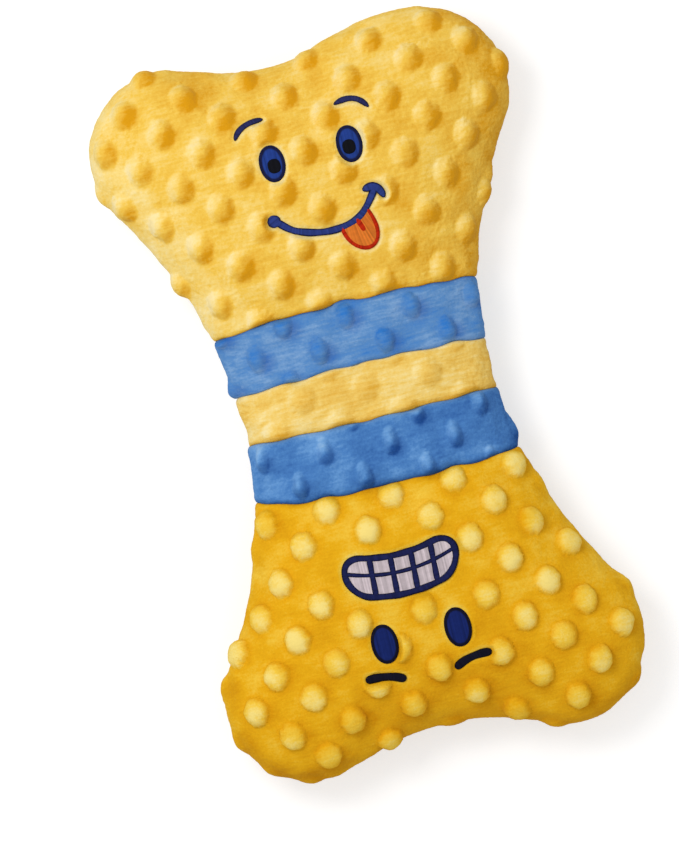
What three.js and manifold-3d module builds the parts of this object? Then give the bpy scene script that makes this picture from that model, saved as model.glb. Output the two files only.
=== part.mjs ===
// A plush squeaky dog toy: a smiling face and a face gritting its teeth, stuffed and sewn
// end to end through a striped waist, with a reed squeaker inside each end.
// Millimetres, +Z up. The toy lies on its back, and +Y runs towards the smiling end.

import * as THREE from 'three';
import { mergeVertices } from 'three/addons/utils/BufferGeometryUtils.js';
import Module from 'manifold-3d';

const wasm = await Module();
wasm.setup();

// Outline seen from above
const LENGTH = 310;
const WIDTH = 183;
const WAIST_WIDTH = 110;
const LOBE_RADIUS = 37;
const END_HOLLOW = 10.5;

// Stuffed thickness, each side of the rim seam
const END_HALF_THICKNESS = 20;
const WAIST_HALF_THICKNESS = 16;
const EDGE_ROLL = 48;
const ROLL_POWER = 2.3;
const SWELL_START = 10;
const SWELL_END = 70;

// Cover cloth and its seams
const CLOTH = 2.5;
const SEAM_GAP = 0.3;
const CENTRE_BAND = 23;
const BLUE_BAND = 26.7;
const BAND_SHIFT = 1.2;

// Raised dots of the cloth
const DOT_RADIUS = 5.2;
const DOT_HEIGHT = 3.6;
const DOT_SINK = 1.5;
const DOT_SHOULDER = { out: 0.74, up: 0.7 };
const DOT_SIDES = 5;
const DOT_PITCH = 27.6;
const DOT_ROW = 12.6;
const DOT_RIM = 8;
const UPPER_DOT_INSET = 50;
const LOWER_DOT_INSET = 37;
const REST_CUT = 0.5;

// Stuffing
const FILL_GAP = 0.7;
const FILL_EDGE = 0.6;

// Embroidery
const STITCH = 0.8;
const STITCH_GAP = 0.3;
const STITCH_CLEAR = 1;
const FACE_INSET = 62;
const EYE_HALF_WIDTH = 5.4;
const EYE_HALF_HEIGHT = 7.8;
const PUPIL_RADIUS = 2.8;
const THIN_BROW = 2;
const THICK_BROW = 2.6;
const SMILE_WIDTH = 2.4;
const CHEEK_WIDTH = 3;
const TONGUE_EDGE = 1.3;
const MOUTH_HALF_WIDTH = 25.7;
const MOUTH_HALF_HEIGHT = 9.1;
const MOUTH_BEND = 5;
const MOUTH_POWER = 3.2;
const MOUTH_EDGE = 2;
const TOOTH_PITCH = 9.2;
const TOOTH_LINE = 1.5;
const TOOTH_LEAN = 0.7;
const LIP_RISE = 1.6;

// Smiling face, drawn about its own centre
const SMILE_LEFT_BROW = [[-28, 24.2], [-24, 30.6], [-15.8, 30]];
const SMILE_RIGHT_BROW = [[18.3, 29], [26, 32], [30.8, 25]];
const SMILE_LEFT_EYE = [-15, 10.3];
const SMILE_RIGHT_EYE = [19.5, 11.2];
const SMILE_LEFT_PUPIL = [-14.2, 9.5];
const SMILE_RIGHT_PUPIL = [19, 10];
const SMILE_LINE = [[-20, -13.2], [-12, -19.6], [2, -22.6], [15, -19.8], [24.6, -9.6]];
const SMILE_START = [-20.3, -12.8];
const CHEEK_LINE = [[21.2, -8.7], [27.4, -5], [28.2, -12.4]];
const TONGUE_LINE = [[8.3, -21.5], [10, -38], [28.5, -37.5], [20.2, -18.4]];
const TONGUE_MIDDLE = [[15.2, -22.2], [16.7, -26]];

// Gritted face, drawn about its own centre
const GRIT_LEFT_BROW = [[-29, -22.6], [-21, -22.4], [-13.6, -26]];
const GRIT_RIGHT_BROW = [[10.2, -26.4], [16, -23.8], [25.2, -24]];
const GRIT_LEFT_EYE = [-18, -10];
const GRIT_RIGHT_EYE = [14.3, -10.5];
const MOUTH_CENTRE = [-3, 16.4];

// Squeaker bulb, pressed flat and round, with a welded rim and an open neck
const SQUEAKER_INSET = 57;
const BULB_DIAMETER = 54;
const BULB_HEIGHT = 22;
const BULB_WALL = 1.2;
const BULB_POWER = 2.6;
const BULB_WELD = 1.4;
const BULB_SIDES = 18;
const POCKET_GAP = 0.3;

// Squeaker plug and reed
const NECK_DIAMETER = 11.5;
const FLANGE_DIAMETER = 16;
const FLANGE = 1.4;
const PLUG_LENGTH = 8;
const PLUG_BORE = 7.6;
const PLUG_CHAMFER = 0.4;
const FIT = 0.15;
const REED_LENGTH = 8;
const REED_WIDTH = 2.6;
const REED = 0.25;
const REED_ROOT = 2.4;
const HOLDER_LENGTH = 9;
const CHANNEL_WIDTH = 1.6;
const CHANNEL_DEPTH = 1.2;
const CHANNEL_END = 1.2;

// Mesh steps
const COLUMNS = 12;
const END_ROWS = 6;
const CORNER = Math.PI / 4;
const WELD = 1e-4;

// Colours
const PALE_YELLOW = 0xf2c74e;
const AMBER_YELLOW = 0xeeb21f;
const BLUE = 0x3f78c4;
const NAVY = 0x1b2450;
const ROYAL_BLUE = 0x24479c;
const BLACK = 0x101014;
const CORAL = 0xec6b47;
const RED = 0xb5281d;
const TOOTH_WHITE = 0xd9cdd6;
const FIBRE_WHITE = 0xf4f2ec;
const BULB_WHITE = 0xe9ecef;
const PLUG_WHITE = 0xf6f6f4;
const REED_SILVER = 0xc9ccd0;

// The middle of the thickness, and the height of the front cover's rim
const MID_Z = SEAM_GAP / 2 + END_HALF_THICKNESS + DOT_HEIGHT - REST_CUT;
const half = SEAM_GAP / 2;
const FACE_Z = MID_Z + half;

// Cross seams from the smiling end to the gritting end
const UPPER_SEAM = BAND_SHIFT + CENTRE_BAND / 2 + BLUE_BAND;
const UPPER_STRIPE_SEAM = BAND_SHIFT + CENTRE_BAND / 2;
const LOWER_STRIPE_SEAM = BAND_SHIFT - CENTRE_BAND / 2;
const LOWER_SEAM = BAND_SHIFT - CENTRE_BAND / 2 - BLUE_BAND;

// Arcs of the outline: a lobe at each corner, a long hollow down each side, a shallow one at each end
const lobe = new THREE.Vector2(WIDTH / 2 - LOBE_RADIUS, LENGTH / 2 - LOBE_RADIUS);
const waistStep = WAIST_WIDTH / 2 - lobe.x;
const sideRadius = (waistStep ** 2 + lobe.y ** 2 - LOBE_RADIUS ** 2) / (2 * (LOBE_RADIUS - waistStep));
const sideCentre = new THREE.Vector2(WAIST_WIDTH / 2 + sideRadius, 0);
const hollowStep = LOBE_RADIUS - END_HOLLOW;
const hollowRadius = (lobe.x ** 2 + hollowStep ** 2 - LOBE_RADIUS ** 2) / (2 * END_HOLLOW);
const hollowCentre = new THREE.Vector2(0, LENGTH / 2 - END_HOLLOW + hollowRadius);
const sideTangent = Math.atan2(lobe.y, sideCentre.x - lobe.x);
const hollowTangent = Math.atan2(hollowCentre.y - lobe.y, -lobe.x);

// Distance from a point inside the outline to the nearest stretch of rim
function edgeDistance(x, y) {
  const spot = new THREE.Vector2(Math.abs(x), Math.abs(y));
  const spoke = spot.clone().sub(lobe);
  const bearing = Math.atan2(spoke.y, spoke.x);
  if (bearing > -sideTangent && bearing < hollowTangent) return LOBE_RADIUS - spoke.length();
  return Math.min(spot.distanceTo(sideCentre) - sideRadius, spot.distanceTo(hollowCentre) - hollowRadius);
}

// Height of the stuffed form above the rim seam, for a surface this far in from the cover's outside
function stuffedHeight(x, y, inset = 0) {
  const swell = THREE.MathUtils.smoothstep(Math.abs(y), SWELL_START, SWELL_END);
  const thickness = THREE.MathUtils.lerp(WAIST_HALF_THICKNESS, END_HALF_THICKNESS, swell) - inset;
  const roll = THREE.MathUtils.clamp((edgeDistance(x, y) - inset) / (EDGE_ROLL - inset), 0, 1);
  return thickness * (1 - (1 - roll) ** ROLL_POWER) ** (1 / ROLL_POWER);
}

// Outward direction of the stuffed form at a point
function stuffedNormal(x, y) {
  const step = 0.5;
  const slopeX = (stuffedHeight(x + step, y) - stuffedHeight(x - step, y)) / (2 * step);
  const slopeY = (stuffedHeight(x, y + step) - stuffedHeight(x, y - step)) / (2 * step);
  return new THREE.Vector3(-slopeX, -slopeY, 1).normalize();
}

const arc = (centre, radius, start, end, clockwise) =>
  new THREE.EllipseCurve(centre.x, centre.y, radius, radius, start, end, clockwise);

// Right-hand rim from a cross seam up to the corner of the end
function sideRim(seam, inset) {
  const radius = sideRadius + inset;
  const rim = new THREE.CurvePath();
  rim.add(arc(sideCentre, radius, Math.PI - Math.asin(seam / radius), Math.PI - sideTangent, true));
  rim.add(arc(lobe, LOBE_RADIUS - inset, -sideTangent, CORNER, false));
  return rim;
}

// End rim from the middle of its hollow out to the corner
function endRim(inset) {
  const rim = new THREE.CurvePath();
  rim.add(arc(hollowCentre, hollowRadius + inset, -Math.PI / 2, hollowTangent - Math.PI, false));
  rim.add(arc(lobe, LOBE_RADIUS - inset, hollowTangent, CORNER, true));
  return rim;
}

// Shares of the half width from -1 at the left rim to 1 at the right, closer together near the rims
const shares = Array.from({ length: COLUMNS + 1 }, (_, i) => Math.sin((i / COLUMNS - 0.5) * Math.PI));

// Straight rows across the waist at its cross seams
function bandRows(seams, inset) {
  return seams.map((y) => {
    const halfWidth = sideCentre.x - Math.sqrt((sideRadius + inset) ** 2 - y ** 2);
    return shares.map((share) => new THREE.Vector2(share * halfWidth, y));
  });
}

// Rows across an end, straight at its cross seam and bent to the end's hollow at the rim
function endRows(seam, inset) {
  const direction = Math.sign(seam);
  const side = sideRim(Math.abs(seam), inset);
  const end = endRim(inset);
  const corner = end.getPoint(1);
  const rows = Array.from({ length: END_ROWS + 1 }, (_, row) => {
    const along = Math.sin(((row / END_ROWS) * Math.PI) / 2);
    const rim = side.getPoint(along);
    const bend = along ** 4;
    return shares.map((share) => {
      const edge = end.getPoint(Math.abs(share));
      const spread = THREE.MathUtils.lerp(Math.abs(share), edge.x / corner.x, bend);
      const y = rim.y + (edge.y - corner.y) * bend;
      return new THREE.Vector2(Math.sign(share) * spread * rim.x, direction * y);
    });
  });
  return direction > 0 ? rows : rows.reverse();
}

// Lifts flat rows of points onto a height
const lifted = (rows, height) =>
  rows.map((row) => row.map((point) => new THREE.Vector3(point.x, point.y, height(point.x, point.y))));

// Closed solid between an upper and a lower grid of points
function closedGrid(upper, lower) {
  const rows = upper.length;
  const columns = upper[0].length;
  const top = (row, column) => row * columns + column;
  const base = (row, column) => rows * columns + row * columns + column;
  const faces = [];
  const quad = (a, b, c, d) => faces.push(a, b, c, a, c, d);
  for (let r = 0; r < rows - 1; r += 1) {
    for (let c = 0; c < columns - 1; c += 1) {
      quad(top(r, c), top(r, c + 1), top(r + 1, c + 1), top(r + 1, c));
      quad(base(r, c), base(r + 1, c), base(r + 1, c + 1), base(r, c + 1));
    }
    quad(base(r + 1, 0), base(r, 0), top(r, 0), top(r + 1, 0));
    quad(base(r, columns - 1), base(r + 1, columns - 1), top(r + 1, columns - 1), top(r, columns - 1));
  }
  for (let c = 0; c < columns - 1; c += 1) {
    quad(base(0, c), base(0, c + 1), top(0, c + 1), top(0, c));
    quad(base(rows - 1, c + 1), base(rows - 1, c), top(rows - 1, c), top(rows - 1, c + 1));
  }
  const geometry = new THREE.BufferGeometry().setFromPoints([...upper.flat(), ...lower.flat()]);
  geometry.setIndex(faces);
  return geometry;
}

// Welds a geometry's shared points, drops flat triangles and turns its faces outwards
function welded(geometry) {
  const bare = geometry.clone();
  bare.deleteAttribute('normal');
  bare.deleteAttribute('uv');
  const merged = mergeVertices(bare, WELD);
  const corner = (index) => new THREE.Vector3().fromBufferAttribute(merged.attributes.position, index);
  const index = merged.index.array;
  const faces = [];
  let volume = 0;
  for (let i = 0; i < index.length; i += 3) {
    const [a, b, c] = index.slice(i, i + 3);
    if (a !== b && b !== c && c !== a) {
      faces.push([a, b, c]);
      volume += corner(a).dot(corner(b).cross(corner(c)));
    }
  }
  merged.setIndex(faces.flatMap(([a, b, c]) => (volume > 0 ? [a, b, c] : [a, c, b])));
  return merged;
}

// A closed geometry as a solid that can be joined and cut
function solidOf(geometry) {
  const closed = welded(geometry);
  const vertProperties = Float32Array.from(closed.attributes.position.array);
  const triVerts = Uint32Array.from(closed.index.array);
  return new wasm.Manifold(new wasm.Mesh({ numProp: 3, vertProperties, triVerts }));
}

// A solid's surface as a geometry
function geometryOf(solid) {
  const mesh = solid.getMesh();
  const geometry = new THREE.BufferGeometry();
  geometry.setAttribute('position', new THREE.BufferAttribute(Float32Array.from(mesh.vertProperties), 3));
  geometry.setIndex(Array.from(mesh.triVerts));
  return geometry;
}

// Turns a front piece over the middle of the thickness to make its twin at the back
function turnedToBack(geometry) {
  return welded(geometry.clone().scale(1, 1, -1).translate(0, 0, 2 * MID_Z));
}

function mesh(name, geometry, color, roughness = 0.9) {
  const piece = new THREE.Mesh(geometry, new THREE.MeshStandardMaterial({ color, roughness, metalness: 0 }));
  piece.name = name;
  return piece;
}

// Embroidery, drawn flat around each face's own centre

const point = (x, y) => new THREE.Vector2(x, y);
const smileCentre = point(0, LENGTH / 2 - FACE_INSET);
const gritCentre = point(0, FACE_INSET - LENGTH / 2);
const around = (centre, points) => points.map(([x, y]) => point(centre.x + x, centre.y + y));

// A line of stitching of even width with round ends, along a curve
function stroke(curve, width, steps = 8) {
  const capSteps = 4;
  const ray = (share, turn) => {
    const heading = curve.getTangent(share).angle() + turn;
    return curve.getPoint(share).add(point(Math.cos(heading), Math.sin(heading)).multiplyScalar(width / 2));
  };
  const right = Array.from({ length: steps }, (_, i) => ray(i / steps, -Math.PI / 2));
  const front = Array.from({ length: capSteps }, (_, i) => ray(1, (i / capSteps - 0.5) * Math.PI));
  const left = Array.from({ length: steps }, (_, i) => ray(1 - i / steps, Math.PI / 2));
  const back = Array.from({ length: capSteps }, (_, i) => ray(0, (i / capSteps + 0.5) * Math.PI));
  return new THREE.Shape([...right, ...front, ...left, ...back]);
}

const bow = (centre, points) => new THREE.QuadraticBezierCurve(...around(centre, points));

function oval(centre, [x, y], halfWidth, halfHeight, sides = 18) {
  const curve = new THREE.EllipseCurve(centre.x + x, centre.y + y, halfWidth, halfHeight);
  return new THREE.Shape(curve.getPoints(sides).slice(0, sides));
}

// The gritted mouth: a rounded bar bent up at its ends, drawn in by a margin all round
const MOUTH_SIDES = 24;
const mouthBend = (share) => MOUTH_BEND * share ** 2;

function mouthPoint(angle, margin) {
  const rounded = (value) => Math.sign(value) * Math.abs(value) ** (2 / MOUTH_POWER);
  const across = rounded(Math.cos(angle)) * (MOUTH_HALF_WIDTH - margin);
  const up = rounded(Math.sin(angle)) * (MOUTH_HALF_HEIGHT - margin);
  return [MOUTH_CENTRE[0] + across, MOUTH_CENTRE[1] + up + mouthBend(across / MOUTH_HALF_WIDTH)];
}

function mouth(margin) {
  const angles = Array.from({ length: MOUTH_SIDES }, (_, i) => (i / MOUTH_SIDES) * 2 * Math.PI);
  return new THREE.Shape(around(gritCentre, angles.map((angle) => mouthPoint(angle, margin))));
}

const smileLine = new THREE.SplineCurve(around(smileCentre, SMILE_LINE));
const cheekLine = bow(smileCentre, CHEEK_LINE);
const tongueLine = new THREE.CubicBezierCurve(...around(smileCentre, TONGUE_LINE));
const tongueMiddle = new THREE.LineCurve(...around(smileCentre, TONGUE_MIDDLE));

const motifs = {
  upper_left_brow: stroke(bow(smileCentre, SMILE_LEFT_BROW), THIN_BROW),
  upper_right_brow: stroke(bow(smileCentre, SMILE_RIGHT_BROW), THIN_BROW),
  upper_left_eye: oval(smileCentre, SMILE_LEFT_EYE, EYE_HALF_WIDTH, EYE_HALF_HEIGHT),
  upper_right_eye: oval(smileCentre, SMILE_RIGHT_EYE, EYE_HALF_WIDTH, EYE_HALF_HEIGHT),
  upper_left_pupil: oval(smileCentre, SMILE_LEFT_PUPIL, PUPIL_RADIUS, PUPIL_RADIUS, 12),
  upper_right_pupil: oval(smileCentre, SMILE_RIGHT_PUPIL, PUPIL_RADIUS, PUPIL_RADIUS, 12),
  smile: stroke(smileLine, SMILE_WIDTH, 14),
  smile_start: oval(smileCentre, SMILE_START, SMILE_WIDTH, CHEEK_WIDTH, 12),
  smile_cheek: stroke(cheekLine, CHEEK_WIDTH, 5),
  tongue: new THREE.Shape(tongueLine.getPoints(14)),
  tongue_edge: stroke(tongueLine, TONGUE_EDGE, 14),
  tongue_line: stroke(tongueMiddle, TONGUE_EDGE, 2),
  lower_left_brow: stroke(bow(gritCentre, GRIT_LEFT_BROW), THICK_BROW),
  lower_right_brow: stroke(bow(gritCentre, GRIT_RIGHT_BROW), THICK_BROW),
  lower_left_eye: oval(gritCentre, GRIT_LEFT_EYE, EYE_HALF_WIDTH, EYE_HALF_HEIGHT),
  lower_right_eye: oval(gritCentre, GRIT_RIGHT_EYE, EYE_HALF_WIDTH, EYE_HALF_HEIGHT),
  teeth: mouth(MOUTH_EDGE / 4),
};

// A flat layer of stitching, from its outline
const stitched = (shape) => solidOf(new THREE.ExtrudeGeometry(shape, { depth: STITCH, bevelEnabled: false }));

// Lays a flat layer of stitching over the stuffed front, on the cloth or on the layer below it
function draped(solid, layer = 0) {
  const geometry = geometryOf(solid);
  const { position } = geometry.attributes;
  const lift = FACE_Z + STITCH_GAP + layer * (STITCH + STITCH_GAP);
  for (let i = 0; i < position.count; i += 1) {
    position.setZ(i, position.getZ(i) + lift + stuffedHeight(position.getX(i), position.getY(i)));
  }
  return geometry;
}

// The mouth's navy lines: its rim, the line where the teeth meet, and the lines between them
function mouthLines() {
  const toothLine = (column) => {
    const [x, y] = MOUTH_CENTRE;
    const foot = x + TOOTH_LEAN + column * TOOTH_PITCH;
    const reach = MOUTH_HALF_HEIGHT + MOUTH_BEND;
    return new THREE.LineCurve(...around(gritCentre, [[foot, y - reach], [foot, y + reach]]));
  };
  const ends = [-1, 0, 1].map((share) => [
    MOUTH_CENTRE[0] + share * MOUTH_HALF_WIDTH,
    MOUTH_CENTRE[1] + LIP_RISE + (share === 0 ? -MOUTH_BEND : MOUTH_BEND),
  ]);
  const bite = stroke(bow(gritCentre, ends), TOOTH_LINE, 6);
  const columns = [-1.5, -0.5, 0.5, 1.5].map((column) => stroke(toothLine(column), TOOTH_LINE, 1));
  const bars = columns.reduce((solid, shape) => solid.add(stitched(shape)), stitched(bite));
  const lip = stitched(mouth(0));
  return lip.subtract(stitched(mouth(MOUTH_EDGE))).add(bars.intersect(lip));
}

function smileStitching() {
  return [motifs.smile_start, motifs.smile_cheek]
    .reduce((solid, shape) => solid.add(stitched(shape)), stitched(motifs.smile));
}

// The tongue hangs below the smile's own line
function tongueStitching() {
  return stitched(motifs.tongue).subtract(stitched(stroke(smileLine, SMILE_WIDTH + 2 * STITCH_GAP, 14)));
}

// Whether a spot on the front lies clear of all embroidery by a margin
function clearOfStitching(spot, margin) {
  return Object.values(motifs).every((shape) => {
    const outline = shape.getPoints();
    let inside = false;
    let nearest = Infinity;
    outline.forEach((end, i) => {
      const start = outline[(i + outline.length - 1) % outline.length];
      const along = end.clone().sub(start);
      const share = THREE.MathUtils.clamp(spot.clone().sub(start).dot(along) / along.lengthSq(), 0, 1);
      nearest = Math.min(nearest, spot.distanceTo(start.clone().addScaledVector(along, share)));
      const crosses = (end.y > spot.y) !== (start.y > spot.y);
      if (crosses && spot.x < start.x + (along.x * (spot.y - start.y)) / along.y) inside = !inside;
    });
    return !inside && nearest > margin;
  });
}

// Cover panels

// How the dots lie on each strip of cloth: where the grid starts, its lean, and the dots' own form
const roundDot = { wide: 1, long: 1, high: 1 };
const upperDots = { x: -0.5, y: LENGTH / 2 - UPPER_DOT_INSET, lean: 0.055, drift: -1.1, ...roundDot };
const upperBlueDots = { x: -1, y: 35, lean: -0.07, drift: 0.5, wide: 0.85, long: 1.15, high: 0.85 };
const centreDots = { x: 0, y: 3, lean: -0.03, drift: 0, wide: 1, long: 1, high: 0.45 };
const lowerBlueDots = { x: 4.5, y: -23, lean: -0.11, drift: 0, wide: 0.75, long: 1.15, high: 0.85 };
const lowerDots = { x: 1, y: LOWER_DOT_INSET - LENGTH / 2, lean: 0, drift: 0, ...roundDot };

// One raised dot, standing square on the stuffed form
function dot(spot, { wide, long, high }) {
  const profile = [
    point(0, -DOT_SINK),
    point(DOT_RADIUS, -DOT_SINK),
    point(DOT_RADIUS * DOT_SHOULDER.out, DOT_HEIGHT * DOT_SHOULDER.up),
    point(0, DOT_HEIGHT),
  ];
  const dome = new THREE.LatheGeometry(profile, DOT_SIDES).rotateX(Math.PI / 2).scale(wide, long, high);
  const tilt = new THREE.Quaternion().setFromUnitVectors(
    new THREE.Vector3(0, 0, 1),
    stuffedNormal(spot.x, spot.y),
  );
  dome.applyQuaternion(tilt);
  return solidOf(dome.translate(spot.x, spot.y, FACE_Z + stuffedHeight(spot.x, spot.y)));
}

// Spots of a staggered grid of dots that fall on a strip of cloth, clear of its rim
function dotSpots(dots, low, high) {
  const count = Math.ceil(LENGTH / DOT_ROW);
  const spots = [];
  for (let row = -count; row <= count; row += 1) {
    for (let column = -count; column <= count; column += 1) {
      const x = dots.x + (column + (row % 2 === 0 ? 0 : 0.5)) * DOT_PITCH + row * dots.drift;
      const spot = point(x, dots.y + row * DOT_ROW + dots.lean * x);
      const onStrip = spot.y > low + DOT_RADIUS / 2 && spot.y < high - DOT_RADIUS / 2;
      if (onStrip && edgeDistance(spot.x, spot.y) > DOT_RIM) spots.push(spot);
    }
  }
  return spots;
}

// Cloth of even thickness over one strip of the front, from its outer and inner rows of points
function clothSolid(rowsAt) {
  const outside = lifted(rowsAt(0), (x, y) => FACE_Z + stuffedHeight(x, y));
  const inside = lifted(rowsAt(CLOTH), (x, y) => FACE_Z + stuffedHeight(x, y, CLOTH));
  return solidOf(closedGrid(outside, inside));
}

// A strip's room between its cross seams, up to a height
function seamRoom(low, high, top) {
  const room = new THREE.BoxGeometry(2 * WIDTH, high - low, top);
  return solidOf(room.translate(0, (low + high) / 2, top / 2));
}

// The front and back panels of one strip of the cover, with their dots
function coverPair(name, low, high, rowsAt, dots, color) {
  const cloth = clothSolid(rowsAt);
  const spots = dotSpots(dots, low, high);
  const dotted = (chosen) => chosen.reduce((solid, spot) => solid.add(dot(spot, dots)), cloth);
  const clear = spots.filter((spot) => clearOfStitching(spot, DOT_RADIUS + STITCH_CLEAR));
  const front = dotted(clear).intersect(seamRoom(low, high, 3 * MID_Z));
  const back = dotted(spots).intersect(seamRoom(low, high, 2 * MID_Z));
  return [
    mesh(`${name}_front`, geometryOf(front), color),
    mesh(`${name}_back`, turnedToBack(geometryOf(back)), color),
  ];
}

function endCover(name, seam, dots, color) {
  const inner = seam + Math.sign(seam) * half;
  const [low, high] = [inner, Math.sign(seam) * LENGTH].sort((a, b) => a - b);
  return coverPair(name, low, high, (inset) => endRows(inner, inset), dots, color);
}

function bandCover(name, lowSeam, highSeam, dots, color) {
  const [low, high] = [lowSeam + half, highSeam - half];
  return coverPair(name, low, high, (inset) => bandRows([low, high], inset), dots, color);
}

// Stuffing

const fillInset = CLOTH + FILL_GAP;

// Room for a squeaker between the two halves of an end's stuffing
function squeakerPocket(centreY) {
  const radius = BULB_DIAMETER / 2 + BULB_WELD + POCKET_GAP;
  const height = BULB_HEIGHT / 2 + POCKET_GAP;
  const flange = FLANGE_DIAMETER / 2 + POCKET_GAP;
  const weldRoom = BULB_WALL / 2 + POCKET_GAP;
  const lower = bulbArc(radius, height - weldRoom, -Math.PI / 2, 0, 4);
  const upper = bulbArc(radius, height - weldRoom, 0, bulbAngle(flange / radius), 4);
  const profile = [
    point(0, -height),
    ...lower.slice(1).map(({ x, y }) => point(x, y - weldRoom)),
    ...upper.map(({ x, y }) => point(x, y + weldRoom)),
    point(flange, height + FLANGE + FIT),
    point(0, height + FLANGE + FIT),
  ];
  return solidOf(turned(profile).translate(0, centreY, MID_Z));
}

// The two halves of an end's stuffing, which close over its squeaker
function endFill(name, seam, squeakerY) {
  const rows = endRows(seam + Math.sign(seam) * half, fillInset);
  const upper = lifted(rows, (x, y) => FACE_Z + Math.max(FILL_EDGE, stuffedHeight(x, y, fillInset)));
  const front = solidOf(closedGrid(upper, lifted(rows, () => FACE_Z)));
  const back = solidOf(turnedToBack(geometryOf(front)));
  const pocket = squeakerPocket(squeakerY);
  return [
    mesh(`${name}_front`, geometryOf(front.subtract(pocket)), FIBRE_WHITE),
    mesh(`${name}_back`, geometryOf(back.subtract(pocket)), FIBRE_WHITE),
  ];
}

// One portion of stuffing behind a waist band, front and back together
function bandFill(name, lowSeam, highSeam) {
  const rows = bandRows([lowSeam + half, highSeam - half], fillInset);
  const height = (x, y) => half + stuffedHeight(x, y, fillInset);
  const upper = lifted(rows, (x, y) => MID_Z + height(x, y));
  const lower = lifted(rows, (x, y) => MID_Z - height(x, y));
  return mesh(name, welded(closedGrid(upper, lower)), FIBRE_WHITE);
}

// Squeakers

// A round piece about the squeaker's upright axis
const turned = (profile) => new THREE.LatheGeometry(profile, BULB_SIDES).rotateX(Math.PI / 2);

// Points on the bulb's flattened round section, by angle from its rim
function bulbArc(radius, height, start, end, steps) {
  const flattened = (value) => Math.sign(value) * Math.abs(value) ** (2 / BULB_POWER);
  return Array.from({ length: steps + 1 }, (_, i) => {
    const angle = THREE.MathUtils.lerp(start, end, i / steps);
    return point(radius * flattened(Math.cos(angle)), height * flattened(Math.sin(angle)));
  });
}

// The angle at which that section comes in to a share of its radius
function bulbAngle(share) {
  return Math.acos(share ** (BULB_POWER / 2));
}

// Blow-moulded bulb, open at the neck that takes the plug
function bulb() {
  const radius = BULB_DIAMETER / 2;
  const height = BULB_HEIGHT / 2;
  const neck = NECK_DIAMETER / 2;
  const steps = 5;
  const outerNeck = bulbAngle(neck / radius);
  const innerNeck = bulbAngle(neck / (radius - BULB_WALL));
  const weldHalf = BULB_WALL / 2;
  const lower = bulbArc(radius, height, -Math.PI / 2, 0, steps);
  const upper = bulbArc(radius, height, 0, outerNeck, steps);
  const inside = bulbArc(radius - BULB_WALL, height - BULB_WALL, innerNeck, -Math.PI / 2, steps + 3);
  const weld = [
    point(radius, -weldHalf),
    point(radius + BULB_WELD, -weldHalf),
    point(radius + BULB_WELD, weldHalf),
    point(radius, weldHalf),
  ];
  return welded(turned([
    point(0, -height),
    ...lower.slice(1, -1),
    ...weld,
    ...upper.slice(1),
    ...inside.slice(0, -1),
    point(0, BULB_WALL - height),
  ]));
}

// Flanged plug pressed into the neck, bored through for the reed
function plug() {
  const barrel = NECK_DIAMETER / 2 - FIT;
  const bore = PLUG_BORE / 2;
  const flange = FLANGE_DIAMETER / 2;
  const profile = [
    point(bore, -PLUG_LENGTH),
    point(barrel - PLUG_CHAMFER, -PLUG_LENGTH),
    point(barrel, PLUG_CHAMFER - PLUG_LENGTH),
    point(barrel, 0),
    point(flange, 0),
    point(flange, FLANGE - PLUG_CHAMFER),
    point(flange - PLUG_CHAMFER, FLANGE),
    point(bore, FLANGE),
    point(bore, -PLUG_LENGTH),
  ];
  return welded(turned(profile));
}

// A half-round bar whose flat side faces the reed, hanging down from the plug's outer face
function halfRound(length, side) {
  const radius = PLUG_BORE / 2 - FIT;
  const flat = REED / 2 + FIT;
  const edge = Math.asin(flat / radius);
  const section = new THREE.Shape();
  section.absarc(0, 0, radius, edge, Math.PI - edge, false);
  const bar = new THREE.ExtrudeGeometry(section, { depth: length, bevelEnabled: false, curveSegments: 10 });
  bar.translate(0, 0, FLANGE - length);
  return side > 0 ? bar : bar.rotateZ(Math.PI);
}

// Half-round bed with the air channel that the reed covers, closed at its inner end
function reedHolder() {
  const channelLength = HOLDER_LENGTH - CHANNEL_END;
  const channel = new THREE.BoxGeometry(CHANNEL_WIDTH, 2 * CHANNEL_DEPTH, 2 * channelLength);
  channel.translate(0, -(REED / 2 + FIT), FLANGE);
  return geometryOf(solidOf(halfRound(HOLDER_LENGTH, -1)).subtract(solidOf(channel)));
}

function reed() {
  const strip = new THREE.BoxGeometry(REED_WIDTH, REED, REED_LENGTH);
  return welded(strip.translate(0, 0, FLANGE - REED_LENGTH / 2));
}

function squeaker(end, y) {
  const group = new THREE.Group();
  group.position.set(0, y, MID_Z);
  group.add(mesh(`${end}_squeaker_bulb`, bulb(), BULB_WHITE, 0.5));
  const voice = new THREE.Group();
  voice.position.z = BULB_HEIGHT / 2 + FIT;
  voice.add(mesh(`${end}_squeaker_plug`, plug(), PLUG_WHITE, 0.4));
  voice.add(mesh(`${end}_reed_holder`, reedHolder(), PLUG_WHITE, 0.4));
  voice.add(mesh(`${end}_reed`, reed(), REED_SILVER, 0.3));
  voice.add(mesh(`${end}_reed_wedge`, welded(halfRound(REED_ROOT, 1)), PLUG_WHITE, 0.4));
  group.add(voice);
  return group;
}

// The whole toy

const toy = new THREE.Group();
const squeakerY = LENGTH / 2 - SQUEAKER_INSET;

toy.add(...endCover('upper_panel', UPPER_SEAM, upperDots, PALE_YELLOW));
toy.add(...bandCover('upper_blue_band', UPPER_STRIPE_SEAM, UPPER_SEAM, upperBlueDots, BLUE));
toy.add(...bandCover('centre_band', LOWER_STRIPE_SEAM, UPPER_STRIPE_SEAM, centreDots, PALE_YELLOW));
toy.add(...bandCover('lower_blue_band', LOWER_SEAM, LOWER_STRIPE_SEAM, lowerBlueDots, BLUE));
toy.add(...endCover('lower_panel', LOWER_SEAM, lowerDots, AMBER_YELLOW));

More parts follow.
